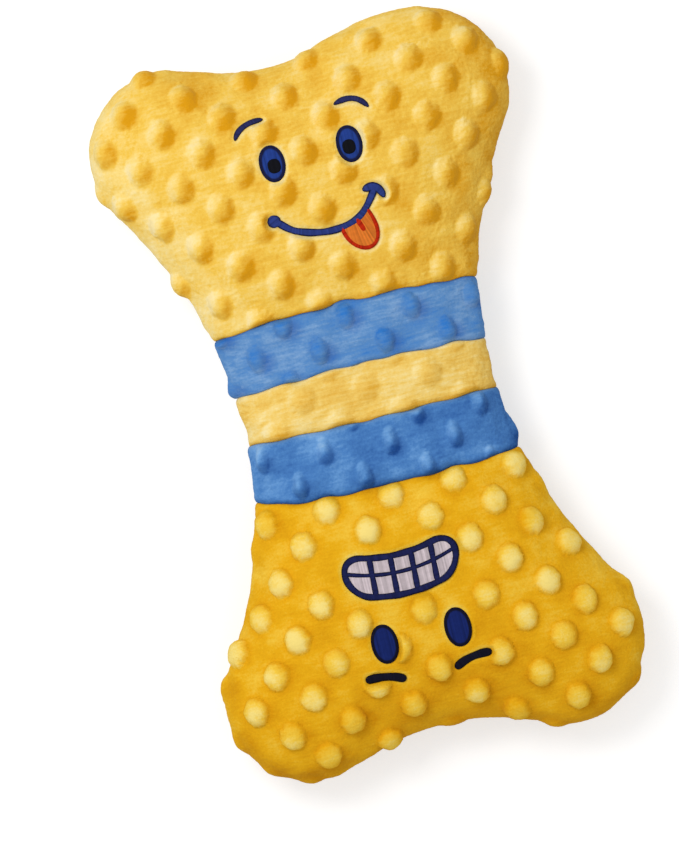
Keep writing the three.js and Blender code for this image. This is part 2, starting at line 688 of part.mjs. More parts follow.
toy.add(...endFill('upper_fill', UPPER_SEAM, squeakerY));
toy.add(bandFill('upper_bend_fill', UPPER_STRIPE_SEAM, UPPER_SEAM));
toy.add(bandFill('waist_fill', LOWER_STRIPE_SEAM, UPPER_STRIPE_SEAM));
toy.add(bandFill('lower_bend_fill', LOWER_SEAM, LOWER_STRIPE_SEAM));
toy.add(...endFill('lower_fill', LOWER_SEAM, -squeakerY));

toy.add(squeaker('upper', squeakerY));
toy.add(squeaker('lower', -squeakerY));

for (const side of ['left', 'right']) {
  toy.add(mesh(`upper_${side}_brow`, draped(stitched(motifs[`upper_${side}_brow`])), NAVY, 0.6));
  toy.add(mesh(`upper_${side}_eye`, draped(stitched(motifs[`upper_${side}_eye`])), ROYAL_BLUE, 0.6));
  toy.add(mesh(`upper_${side}_pupil`, draped(stitched(motifs[`upper_${side}_pupil`]), 1), BLACK, 0.6));
  toy.add(mesh(`lower_${side}_brow`, draped(stitched(motifs[`lower_${side}_brow`])), NAVY, 0.6));
  toy.add(mesh(`lower_${side}_eye`, draped(stitched(motifs[`lower_${side}_eye`])), ROYAL_BLUE, 0.6));
}
toy.add(mesh('smile', draped(smileStitching()), NAVY, 0.6));
toy.add(mesh('tongue', draped(tongueStitching()), CORAL, 0.6));
toy.add(mesh('tongue_edge', draped(stitched(motifs.tongue_edge), 1), RED, 0.6));
toy.add(mesh('tongue_line', draped(stitched(motifs.tongue_line), 1), RED, 0.6));
toy.add(mesh('teeth', draped(stitched(motifs.teeth)), TOOTH_WHITE, 0.6));
toy.add(mesh('mouth_lines', draped(mouthLines(), 1), NAVY, 0.6));

export default toy;
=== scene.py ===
"""Dresses a plush squeaky dog toy: its dotted cover, faces, stuffing, squeakers and studio."""

import logging
import math
from dataclasses import dataclass, field
from enum import Enum
from typing import Callable, Protocol

import bmesh
import bpy
import numpy as np
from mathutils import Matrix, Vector, noise
from mathutils.bvhtree import BVHTree
from mathutils.kdtree import KDTree


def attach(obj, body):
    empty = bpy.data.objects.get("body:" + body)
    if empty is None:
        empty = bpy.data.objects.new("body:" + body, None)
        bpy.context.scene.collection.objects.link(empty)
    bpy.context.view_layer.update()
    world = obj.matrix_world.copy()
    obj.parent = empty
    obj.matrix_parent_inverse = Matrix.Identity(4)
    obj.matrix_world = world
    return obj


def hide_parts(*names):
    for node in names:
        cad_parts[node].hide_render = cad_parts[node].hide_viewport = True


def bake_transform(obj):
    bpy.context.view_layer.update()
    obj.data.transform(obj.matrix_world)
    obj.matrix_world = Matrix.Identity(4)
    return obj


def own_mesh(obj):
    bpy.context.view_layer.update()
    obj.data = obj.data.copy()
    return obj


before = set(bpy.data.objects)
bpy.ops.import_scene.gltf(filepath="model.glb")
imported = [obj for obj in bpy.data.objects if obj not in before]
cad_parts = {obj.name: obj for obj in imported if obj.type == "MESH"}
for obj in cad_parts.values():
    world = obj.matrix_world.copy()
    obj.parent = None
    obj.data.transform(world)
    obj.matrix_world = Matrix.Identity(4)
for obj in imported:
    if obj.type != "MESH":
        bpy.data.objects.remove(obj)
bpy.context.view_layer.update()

MM = 0.001
log = logging.getLogger("dog_toy")

Curve = Callable[[np.ndarray], np.ndarray]
Color = tuple[float, float, float, float]
Place = tuple[float, float]
Drawing = tuple[Place, ...]
Span = tuple[float, float]
Stretch = tuple[float, float, float]
Point = tuple[float, float, float]

EVEN: Stretch = (1, 1, 1)
NOISE_CORE: Span = (0.3, 0.7)
NOISE_MIDDLE: Span = (0.35, 0.65)
NOISE_BODY: Span = (0.25, 0.75)
EITHER_WAY: Span = (-0.5, 0.5)
FULL: Span = (0, 1)
SEED_STEPS = np.array([1, 2.3, 3.7])
SRGB_KNEE = 0.04045
SRGB_SLOPE = 12.92
SRGB_OFFSET = 0.055
SRGB_POWER = 2.4
WHITE_LIGHT: Color = (1, 1, 1, 1)
MERGE = 0.001 * MM
TINY = 1e-9
SIDES = ("left", "right")


class Side(Enum):
    """The face of the toy that a panel covers."""

    FRONT = 1
    BACK = -1


class DotShape(Enum):
    """How a raised dot of the cloth stands up: its reach by its radius, its fullness and its slope."""

    BALL = (1.0, 2.6, 0.6)
    SOFT = (1.32, 2.4, 1.7)
    RIDGE = (1.0, 1.4, 1.1)
    DOME = (1.0, 2.0, 0.85)


# Small helpers


def srgb(red: int, green: int, blue: int) -> Color:
    """Turns a colour written as screen values into the linear one that a shader takes.

    Args:
        red: Red from 0 to 255.
        green: Green from 0 to 255.
        blue: Blue from 0 to 255.

    Returns:
        The linear colour, opaque.
    """
    shares = np.array([red, green, blue]) / 255
    curved = ((shares + SRGB_OFFSET) / (1 + SRGB_OFFSET)) ** SRGB_POWER
    linear = np.where(shares <= SRGB_KNEE, shares / SRGB_SLOPE, curved)
    return (float(linear[0]), float(linear[1]), float(linear[2]), 1.0)


def smoothstep(value: np.ndarray, low: float, high: float) -> np.ndarray:
    """Rises smoothly from 0 at low to 1 at high."""
    share = np.clip((value - low) / (high - low), 0, 1)
    return share * share * (3 - 2 * share)


def ripple(points: np.ndarray, scale: float | Stretch, seed: float) -> np.ndarray:
    """Smooth noise at each point.

    Args:
        points: Places, one row each.
        scale: Size of the ripples, one for all axes or one for each.
        seed: Shifts the noise, so that no two uses look alike.

    Returns:
        A value from about -1 to 1 for each point.
    """
    shifted = points / np.array(scale) + seed * SEED_STEPS
    return np.array([noise.noise(place) for place in shifted.tolist()])


def read_rows(mesh: bpy.types.Mesh, key: str) -> np.ndarray:
    """One of the vertices' vectors, one row for each vertex.

    Args:
        mesh: The mesh.
        key: Which of its vertices' vectors.

    Returns:
        The vectors.
    """
    flat = np.zeros(len(mesh.vertices) * 3, np.float32)
    mesh.vertices.foreach_get(key, flat)
    return flat.reshape(-1, 3).astype(float)


def read_points(mesh: bpy.types.Mesh) -> np.ndarray:
    """The mesh's vertices, one row each."""
    return read_rows(mesh, "co")


def read_normals(mesh: bpy.types.Mesh) -> np.ndarray:
    """The mesh's vertex normals, one row each."""
    return read_rows(mesh, "normal")


def write_points(mesh: bpy.types.Mesh, points: np.ndarray) -> None:
    """Moves the mesh's vertices to the given rows."""
    mesh.vertices.foreach_set("co", points.astype(np.float32).ravel())
    mesh.update()


def write_attribute(mesh: bpy.types.Mesh, name: str, values: np.ndarray) -> None:
    """Stores one number for each vertex under a name that a material can read."""
    attribute = mesh.attributes.new(name, "FLOAT", "POINT")
    attribute.data.foreach_set("value", values.astype(np.float32))


def as_object(name: str, mesh: bpy.types.Mesh) -> bpy.types.Object:
    """Puts a mesh into the scene as an object of that name, with smooth shading.

    Args:
        name: The object's name.
        mesh: Its mesh.

    Returns:
        The object.
    """
    mesh.name = name
    mesh.shade_smooth()
    made = bpy.data.objects.new(name, mesh)
    bpy.context.scene.collection.objects.link(made)
    return made


def settled(obj: bpy.types.Object) -> bpy.types.Mesh:
    """A new mesh of the object with its modifiers applied."""
    seen = obj.evaluated_get(bpy.context.evaluated_depsgraph_get())
    return bpy.data.meshes.new_from_object(seen)


def modified(mesh: bpy.types.Mesh, kind: str, **settings: object) -> bpy.types.Mesh:
    """Runs one modifier over a mesh.

    Args:
        mesh: The mesh to change, which is used up.
        kind: Blender's name for the modifier.
        settings: The modifier's own settings.

    Returns:
        The changed mesh.
    """
    carrier = as_object("carrier", mesh)
    modifier = carrier.modifiers.new(kind, kind)
    for key, value in settings.items():
        setattr(modifier, key, value)
    made = settled(carrier)
    bpy.data.objects.remove(carrier)
    bpy.data.meshes.remove(mesh)
    return made


def mesh_of(bm: bmesh.types.BMesh, name: str) -> bpy.types.Mesh:
    """Turns a bmesh into a mesh and frees it.

    Args:
        bm: The bmesh, which is used up.
        name: The mesh's name.

    Returns:
        The mesh.
    """
    mesh = bpy.data.meshes.new(name)
    bm.to_mesh(mesh)
    bm.free()
    return mesh


def bezier(points: np.ndarray, share: np.ndarray) -> np.ndarray:
    """Points on a Bezier curve.

    Args:
        points: Control points, one row each.
        share: Shares of the way along, from 0 to 1.

    Returns:
        One row for each share.
    """
    rows = [np.tile(point, (len(share), 1)) for point in points]
    along = share[:, None]
    while len(rows) > 1:
        rows = [first * (1 - along) + second * along for first, second in zip(rows, rows[1:])]
    return rows[0]


def run_along(points: np.ndarray) -> np.ndarray:
    """How far along a line each of its points lies."""
    return np.concatenate([[0], np.cumsum(np.linalg.norm(np.diff(points, axis=0), axis=1))])


def read_along(run: np.ndarray, rows: np.ndarray, places: np.ndarray) -> np.ndarray:
    """Rows between those of a line, at places along its run."""
    return np.stack([np.interp(places, run, column) for column in rows.T], axis=1)


def spline(points: np.ndarray, share: np.ndarray) -> np.ndarray:
    """Points on a smooth curve through all of its points.

    Args:
        points: Points that the curve passes through, one row each.
        share: Shares of the way along, from 0 to 1.

    Returns:
        One row for each share.
    """
    spans = len(points) - 1
    span = np.minimum((share * spans).astype(int), spans - 1)
    t = (share * spans - span)[:, None]
    before = points[np.maximum(span - 1, 0)]
    start = points[span]
    end = points[span + 1]
    after = points[np.minimum(span + 2, spans)]
    into = (end - before) / 2
    out = (after - start) / 2
    cubic = (2 * start - 2 * end + into + out) * t**3
    square = (3 * end - 3 * start - 2 * into - out) * t**2
    return cubic + square + into * t + start


# Finishes


class Shader:
    """A material's nodes, added and linked by short calls."""

    def __init__(self, name: str) -> None:
        """Starts a material with a plain surface.

        Args:
            name: The material's name.
        """
        self.material = bpy.data.materials.new(name)
        self.material.use_nodes = True
        self.tree = self.material.node_tree
        self.surface = self.tree.nodes["Principled BSDF"]

    def fill(self, node: bpy.types.Node, inputs: dict) -> None:
        """Links or sets a node's inputs, by name or number.

        Args:
            node: The node.
            inputs: Sockets to link and values to set.
        """
        for key, value in inputs.items():
            if isinstance(value, bpy.types.NodeSocket):
                self.tree.links.new(value, node.inputs[key])
            else:
                node.inputs[key].default_value = value

    def node(self, kind: str, inputs: dict | None = None, **settings: object) -> bpy.types.Node:
        """Adds a node.

        Args:
            kind: The node's type, without its ShaderNode prefix.
            inputs: What goes into its sockets, by name or number.
            settings: The node's own settings.

        Returns:
            The new node.
        """
        made = self.tree.nodes.new("ShaderNode" + kind)
        for key, value in settings.items():
            setattr(made, key, value)
        self.fill(made, inputs or {})
        return made

    def places(self, scale: Stretch = EVEN) -> bpy.types.NodeSocket:
        """The surface's own coordinates in the toy's frame, stretched by a scale."""
        source = self.node("TexCoord").outputs["Object"]
        return self.node("Mapping", {"Vector": source, "Scale": scale}).outputs["Vector"]

    def noise(self, scale: float, detail: float = 2, stretch: Stretch = EVEN) -> bpy.types.NodeSocket:
        """Smooth noise over the surface, as a socket from 0 to 1."""
        inputs = {"Vector": self.places(stretch), "Scale": scale, "Detail": detail}
        return self.node("TexNoise", inputs).outputs["Fac"]

    def attribute(self, name: str) -> bpy.types.NodeSocket:
        """One of the mesh's own numbers, as a socket."""
        return self.node("Attribute", attribute_name=name).outputs["Fac"]

    def math(self, operation: str, *values: object, clamp: bool = False) -> bpy.types.NodeSocket:
        """A sum or product of sockets and numbers."""
        made = self.node("Math", dict(enumerate(values)), operation=operation, use_clamp=clamp)
        return made.outputs["Value"]

    def mapped(self, value: bpy.types.NodeSocket, source: Span, target: Span) -> bpy.types.NodeSocket:
        """A socket's range stretched onto another range."""
        inputs = {0: value, 1: source[0], 2: source[1], 3: target[0], 4: target[1]}
        return self.node("MapRange", inputs).outputs["Result"]

    def mix(
        self, share: object, first: object, second: object, blend: str = "MIX"
    ) -> bpy.types.NodeSocket:
        """Two colours mixed by a share.

        Args:
            share: How much of the second colour shows.
            first: The first colour.
            second: The second colour.
            blend: How it is laid over the first.

        Returns:
            The mixed colour.
        """
        inputs = {0: share, 6: first, 7: second}
        made = self.node("Mix", inputs, data_type="RGBA", blend_type=blend)
        return made.outputs[2]

    def ramp(
        self, value: bpy.types.NodeSocket, stops: list[tuple[float, Color]]
    ) -> bpy.types.NodeSocket:
        """A colour looked up along a row of stops.

        Args:
            value: Where along the row to look.
            stops: Places from 0 to 1 and their colours.

        Returns:
            The colour.
        """
        made = self.node("ValToRGB", {0: value})
        elements = made.color_ramp.elements
        while len(elements) < len(stops):
            elements.new(0.5)
        for element, (place, color) in zip(elements, stops):
            element.position = place
            element.color = color
        return made.outputs["Color"]

    def bump(self, height: bpy.types.NodeSocket, strength: float, distance: float) -> None:
        """Roughens the surface by a height.

        Args:
            height: The height.
            strength: How strongly it shows.
            distance: How high it stands.
        """
        inputs = {"Height": height, "Strength": strength, "Distance": distance}
        made = self.node("Bump", inputs)
        self.tree.links.new(made.outputs["Normal"], self.surface.inputs["Normal"])


class Finish(Protocol):
    """What a piece asks of its finish."""

    name: str
    slot: str

    def material(self) -> bpy.types.Material:
        """Builds the finish's material."""


@dataclass(frozen=True)
class PlushFinish:
    """Short-pile plush, whose tone goes from deep through middle and pale to cream with painted shade
    and painted highlight on its slopes.

    Attributes:
        dot_tone: How much paler the top of a dot is, as a painted highlight, below 0 where it is
            deeper, as painted shade.
        frost: How far the tone varies in patches.
        streaks: How far it varies along the brushed pile.
        specks: How far it varies from tuft to tuft.
        seam: How far the cloth darkens with painted shade in a seam and painted shadow beside a dot.
    """

    name: str
    slot: str
    deep: Color
    middle: Color
    pale: Color
    cream: Color
    dot_tone: float = 0.0
    frost: float = 0.2
    streaks: float = 0.12
    specks: float = 0.17
    seam: float = 0.25
    sheen: float = 0.35
    sheen_roughness: float = 0.45
    roughness: float = 0.95
    shine: float = 0.12
    # How strongly the painted highlight and shade on slopes show in the tone.
    nap_gain: float = 0.8
    middle_tone: float = 0.45
    pale_tone: float = 0.75
    patch_scale: float = 70
    patch_detail: int = 3
    streak_scale: float = 110
    streak_detail: int = 4
    streak_stretch: Stretch = (1, 7, 4)
    speck_scale: float = 1100
    tuft_scale: float = 650
    tuft_stretch: Stretch = (1, 1.6, 1)
    tuft_share: float = 0.6
    streak_relief: float = 2.0
    pile_scale: float = 1900
    pile_strength: float = 0.5
    pile_depth: float = 0.5 * MM

    def material(self) -> bpy.types.Material:
        """Builds the cloth's material.

        Returns:
            The material.
        """
        shader = Shader(self.name)
        frosted = shader.noise(self.patch_scale, self.patch_detail)
        patches = shader.mapped(frosted, NOISE_CORE, EITHER_WAY)
        streaked = shader.noise(self.streak_scale, self.streak_detail, self.streak_stretch)
        brushed = shader.mapped(streaked, NOISE_CORE, EITHER_WAY)
        specks = shader.mapped(shader.noise(self.speck_scale), NOISE_BODY, EITHER_WAY)
        # Painted highlight and shade: the slope number on the mesh sets the tone, the dot tops shift
        # it, and random patches, streaks and specks vary it.
        tone = shader.math("MULTIPLY_ADD", shader.attribute("nap"), self.nap_gain, self.middle_tone)
        shades = (
            (shader.attribute("dot"), self.dot_tone),
            (patches, self.frost),
            (brushed, self.streaks),
            (specks, self.specks),
        )
        for shade, share in shades:
            tone = shader.math("MULTIPLY_ADD", shade, share, tone)
        stops = [
            (0.0, self.deep),
            (self.middle_tone, self.middle),
            (self.pale_tone, self.pale),
            (1.0, self.cream),
        ]
        cloth = shader.ramp(tone, stops)
        # Painted shade in the seams and painted shadow beside the dots, multiplied in towards the deep
        # colour.
        seam = shader.math("MULTIPLY", shader.attribute("seam"), self.seam)
        cloth = shader.mix(seam, cloth, self.deep, "MULTIPLY")
        tufts = shader.noise(self.tuft_scale, stretch=self.tuft_stretch)
        pile = shader.math("MULTIPLY_ADD", tufts, self.tuft_share, shader.noise(self.pile_scale))
        pile = shader.math("MULTIPLY_ADD", brushed, self.streak_relief * self.streaks, pile)
        shader.bump(pile, self.pile_strength, self.pile_depth)
        shader.fill(
            shader.surface,
            {
                "Base Color": cloth,
                "Roughness": self.roughness,
                "Specular IOR Level": self.shine,
                "Sheen Weight": self.sheen,
                "Sheen Roughness": self.sheen_roughness,
                "Sheen Tint": self.pale,
            },
        )
        return shader.material


@dataclass(frozen=True)
class ThreadFinish:
    """Embroidery thread in two tones, with a slightly different tone on each stitch."""

    name: str
    slot: str
    color: Color
    edge: Color
    stitch_tones: Span = (0.72, 1.12)
    worn_tones: Span = (0.9, 1.06)
    worn_scale: float = 500
    worn_detail: int = 3
    lint_scale: float = 2600
    lint_strength: float = 0.25
    lint_depth: float = 0.15 * MM
    roughness: float = 0.6
    shine: float = 0.05

    def material(self) -> bpy.types.Material:
        """Builds the thread's material.

        Returns:
            The material.
        """
        shader = Shader(self.name)
        stitch = shader.math("FLOOR", shader.attribute("thread"))
        tone = shader.node("TexWhiteNoise", {"W": stitch}, noise_dimensions="1D").outputs["Value"]
        base = shader.mix(shader.attribute("edge"), self.color, self.edge)
        shade = shader.mapped(tone, FULL, self.stitch_tones)
        rubbed = shader.noise(self.worn_scale, self.worn_detail)
        worn = shader.mapped(rubbed, NOISE_CORE, self.worn_tones)
        shade = shader.math("MULTIPLY", shade, worn)
        tinted = shader.node("HueSaturation", {"Color": base, "Value": shade}).outputs["Color"]
        shader.bump(shader.noise(self.lint_scale), self.lint_strength, self.lint_depth)
        shader.fill(
            shader.surface,
            {"Base Color": tinted, "Roughness": self.roughness, "Specular IOR Level": self.shine},
        )
        return shader.material


@dataclass(frozen=True)
class FibreFinish:
    """Loose white polyester fibre."""

    name: str = "fibre_fill"
    slot: str = "fibre_fill"
    light: Color = srgb(248, 246, 240)
    dark: Color = srgb(206, 202, 194)
    tangle_scale: float = 160
    tangle_detail: int = 6
    tangle_stretch: Stretch = (1, 1.8, 1.3)
    tuft_scale: float = 420
    tuft_detail: int = 5
    tuft_stretch: Stretch = (1, 2.5, 1)
    tuft_strength: float = 0.8
    tuft_depth: float = 1.2 * MM
    shine: float = 0.1
    sheen: float = 0.3

    def material(self) -> bpy.types.Material:
        """Builds the stuffing's material.

        Returns:
            The material.
        """
        shader = Shader(self.name)
        fibres = shader.noise(self.tangle_scale, self.tangle_detail, self.tangle_stretch)
        tangle = shader.mapped(fibres, NOISE_CORE, FULL)
        tufts = shader.noise(self.tuft_scale, self.tuft_detail, self.tuft_stretch)
        shader.bump(tufts, self.tuft_strength, self.tuft_depth)
        shader.fill(
            shader.surface,
            {
                "Base Color": shader.mix(tangle, self.dark, self.light),
                "Roughness": 1.0,
                "Specular IOR Level": self.shine,
                "Sheen Weight": self.sheen,
            },
        )
        return shader.material


@dataclass(frozen=True)
class PlasticFinish:
    """Moulded plastic with a faint mottle and a fine surface."""

    name: str
    slot: str
    light: Color
    dark: Color
    roughness: float
    grain: float = 0.1
    wear: Span = (-0.06, 0.08)
    mottle_scale: float = 120
    wear_scale: float = 300
    grain_scale: float = 900
    grain_depth: float = 0.2 * MM
    detail: int = 3

    def material(self) -> bpy.types.Material:
        """Builds the plastic's material.

        Returns:
            The material.
        """
        shader = Shader(self.name)
        mottle = shader.mapped(shader.noise(self.mottle_scale, self.detail), NOISE_MIDDLE, FULL)
        rubbed = shader.noise(self.wear_scale, self.detail)
        worn = (self.roughness + self.wear[0], self.roughness + self.wear[1])
        shader.fill(
            shader.surface,
            {
                "Base Color": shader.mix(mottle, self.dark, self.light),
                "Roughness": shader.mapped(rubbed, NOISE_CORE, worn),
            },
        )
        shader.bump(shader.noise(self.grain_scale, self.detail), self.grain, self.grain_depth)
        return shader.material


# Each plush's tones run from deep, its painted shade, to cream, its painted highlight.
UPPER_YELLOW = PlushFinish(
    "upper_yellow_plush", "pale_yellow_plush",
    deep=srgb(226, 160, 18), middle=srgb(245, 201, 82),
    pale=srgb(252, 222, 134), cream=srgb(254, 234, 172),
    dot_tone=-0.13, frost=0.36, streaks=0.18,
)
CENTRE_YELLOW = PlushFinish(
    "centre_yellow_plush", "pale_yellow_plush",
    deep=srgb(230, 172, 50), middle=srgb(246, 207, 106),
    pale=srgb(252, 227, 152), cream=srgb(254, 238, 186),
    dot_tone=-0.12, frost=0.35, streaks=0.3,
)
LOWER_YELLOW = PlushFinish(
    "lower_yellow_plush", "amber_yellow_plush",
    deep=srgb(210, 142, 0), middle=srgb(237, 178, 22),
    pale=srgb(249, 206, 70), cream=srgb(254, 228, 132),
    dot_tone=0.45, frost=0.35,
)
UPPER_BLUE = PlushFinish(
    "upper_blue_plush", "blue_plush",
    deep=srgb(50, 122, 204), middle=srgb(95, 145, 203),
    pale=srgb(134, 173, 218), cream=srgb(166, 194, 226),
    dot_tone=-0.22, frost=0.35, streaks=0.3, seam=0.5,
)
LOWER_BLUE = PlushFinish(
    "lower_blue_plush", "blue_plush",
    deep=srgb(34, 84, 158), middle=srgb(76, 130, 196),
    pale=srgb(110, 162, 220), cream=srgb(142, 186, 234),
    dot_tone=0.1, frost=0.4, seam=0.5,
)

RIM_NAVY = ThreadFinish("rim_thread", "navy_thread", srgb(28, 34, 82), srgb(18, 20, 44))
SMILE_BLUE = ThreadFinish("smile_thread", "navy_thread", srgb(44, 60, 128), srgb(24, 28, 66))
BROW_NAVY = ThreadFinish("brow_thread", "navy_thread", srgb(42, 46, 94), srgb(30, 32, 66))
BROW_BLACK = ThreadFinish("dark_brow_thread", "navy_thread", srgb(18, 18, 36), srgb(12, 11, 18))
EYE_BLUE = ThreadFinish("eye_thread", "royal_blue_thread", srgb(34, 62, 140), srgb(22, 26, 62))
DARK_EYE_BLUE = ThreadFinish(
    "dark_eye_thread", "royal_blue_thread", srgb(22, 38, 102), srgb(16, 16, 36)
)
BLACK = ThreadFinish("black_thread", "black_thread", srgb(12, 13, 20), srgb(14, 16, 32))
CORAL = ThreadFinish("coral_thread", "coral_thread", srgb(224, 122, 44), srgb(212, 106, 34))
RED = ThreadFinish("red_thread", "red_thread", srgb(192, 40, 12), srgb(168, 28, 10))
WHITE = ThreadFinish("white_thread", "white_thread", srgb(208, 194, 200), srgb(192, 176, 186))
FIBRE = FibreFinish()
BULB_PLASTIC = PlasticFinish(
    "squeaker_bulb", "squeaker_bulb", srgb(238, 240, 242), srgb(224, 228, 232), roughness=0.5
)
PLUG_PLASTIC = PlasticFinish(
    "squeaker_plug", "squeaker_plug", srgb(250, 250, 248), srgb(238, 238, 236), roughness=0.35
)
REED_FILM = PlasticFinish(
    "squeaker_reed", "squeaker_reed", srgb(206, 210, 214), srgb(190, 195, 200),
    roughness=0.28, grain=0.05,
)


class Wardrobe:
    """Every finish's material, made once when a piece first asks for it."""

    def __init__(self) -> None:
        """Starts with no materials."""
        self.made: dict[str, bpy.types.Material] = {}

    def dress(self, obj: bpy.types.Object, finish: Finish) -> None:
        """Gives a piece its finish's material.

        Args:
            obj: The piece.
            finish: Its finish.
        """
        if finish.name not in self.made:
            self.made[finish.name] = finish.material()
        obj.data.materials.clear()
        obj.data.materials.append(self.made[finish.name])


# The stuffed form


@dataclass(frozen=True)
class Outline:
    """The toy's outline from above: a lobe at each corner, and a hollow along each side and end."""

    length: float = 0.310
    width: float = 0.183
    waist: float = 0.110
    lobe_radius: float = 0.037
    end_hollow: float = 0.0105
    search_reach: float = 0.6
    search_steps: int = 40

    @property
    def lobe(self) -> Place:
        """The centre of the right upper lobe."""
        return self.width / 2 - self.lobe_radius, self.length / 2 - self.lobe_radius

    @property
    def side(self) -> tuple[float, float]:
        """The place across the toy and the radius of the right side's hollow.

        Returns:
            The place and the radius.
        """
        x, y = self.lobe
        step = self.waist / 2 - x
        radius = (step**2 + y**2 - self.lobe_radius**2) / (2 * (self.lobe_radius - step))
        return self.waist / 2 + radius, radius

    @property
    def hollow(self) -> tuple[float, float]:
        """The place along the toy and the radius of the upper end's hollow.

        Returns:
            The place and the radius.
        """
        x, _ = self.lobe
        step = self.lobe_radius - self.end_hollow
        radius = (x**2 + step**2 - self.lobe_radius**2) / (2 * self.end_hollow)
        return self.length / 2 - self.end_hollow + radius, radius

    def edge_distance(self, x: np.ndarray, y: np.ndarray) -> np.ndarray:
        """How far each place lies inside the outline.

        Args:
            x: Places across the toy.
            y: Places along the toy.

        Returns:
            The distances, below 0 outside the outline.
        """
        lobe_x, lobe_y = self.lobe
        side_x, side_radius = self.side
        hollow_y, hollow_radius = self.hollow
        across = np.abs(x)
        along = np.abs(y)
        bearing = np.arctan2(along - lobe_y, across - lobe_x)
        past_side = bearing > -math.atan2(lobe_y, side_x - lobe_x)
        on_lobe = past_side & (bearing < math.atan2(hollow_y - lobe_y, -lobe_x))
        from_lobe = self.lobe_radius - np.hypot(across - lobe_x, along - lobe_y)
        from_side = np.hypot(across - side_x, along) - side_radius
        from_hollow = np.hypot(across, along - hollow_y) - hollow_radius
        return np.where(on_lobe, from_lobe, np.minimum(from_side, from_hollow))

    def rim_reach(self, bearing: np.ndarray) -> np.ndarray:
        """How far the rim lies from the middle of the toy on each bearing.

        Args:
            bearing: Directions from the middle, in radians.

        Returns:
            The distances.
        """
        near = np.zeros_like(bearing)
        far = np.full_like(bearing, self.search_reach * self.length)
        for _ in range(self.search_steps):
            middle = (near + far) / 2
            inside = self.edge_distance(middle * np.cos(bearing), middle * np.sin(bearing)) > 0
            near = np.where(inside, middle, near)
            far = np.where(inside, far, middle)
        return near


@dataclass(frozen=True)
class CrossSeam:
    """A seam across the toy that bows towards its ends and goes round the dots beside it."""

    y: float
    bow: float
    crest: float
    power: float = 2.0
    dots: tuple[float, ...] = ()
    detour: float = 0.0
    dot_width: float = 5 * MM
    reach: float = 57 * MM
    wobble: float = 0.3 * MM
    wobble_pitch: float = 19 * MM
    wobble_shift: float = 40.0
    samples: int = 200

    def at(self, x: np.ndarray) -> np.ndarray:
        """Where the seam lies along the toy, at places across it.

        Args:
            x: Places across the toy.

        Returns:
            The seam's places along it.
        """
        slow = self.bow * (np.abs(x - self.crest) / self.reach) ** self.power
        quick = np.sin(2 * math.pi * x / self.wobble_pitch + self.wobble_shift * self.y)
        round_dots = sum(np.exp(-(((x - dot) / self.dot_width) ** 2)) for dot in self.dots)
        return self.y + slow + self.wobble * quick + self.detour * round_dots

    def span(self) -> Span:
        """The lowest and highest place of the seam along the toy."""
        places = self.at(np.linspace(-self.reach, self.reach, self.samples))
        return float(places.min()), float(places.max())


UPPER_SEAM = CrossSeam(
    y=39.5 * MM,
    bow=-2.9 * MM,
    crest=0,
    dots=(-31 * MM, -1 * MM, 26 * MM, 51 * MM),
    detour=0.9 * MM,
)
UPPER_STRIPE_SEAM = CrossSeam(
    y=12.9 * MM,
    bow=-2.0 * MM,
    crest=0,
    dots=(-10 * MM, 17 * MM, 42 * MM),
    detour=0.6 * MM,
)
LOWER_STRIPE_SEAM = CrossSeam(y=-10.9 * MM, bow=1.3 * MM, crest=6 * MM)
LOWER_SEAM = CrossSeam(
    y=-39.4 * MM,
    bow=4.2 * MM,
    crest=6 * MM,
    power=4,
    dots=(-27 * MM, 1 * MM, 29 * MM),
    detour=0.8 * MM,
)
SEAMS = (UPPER_SEAM, UPPER_STRIPE_SEAM, LOWER_STRIPE_SEAM, LOWER_SEAM)


@dataclass(frozen=True)
class Nudge:
    """A place where the stuffed form is fuller than its even outline."""

    place: Place
    move: Place
    reach: float

    def shift(self, flat: np.ndarray) -> np.ndarray:
        """How far places across and along the toy are pushed out."""
        away = np.linalg.norm(flat - np.array(self.place), axis=-1) / self.reach
        return np.exp(-(away**2))[..., None] * np.array(self.move)


UPPER_NUDGE = Nudge(place=(26 * MM, 148 * MM), move=(-1.0 * MM, 5.4 * MM), reach=20 * MM)
LOWER_NUDGE = Nudge(place=(54 * MM, -152 * MM), move=(0.8 * MM, -3.2 * MM), reach=34 * MM)


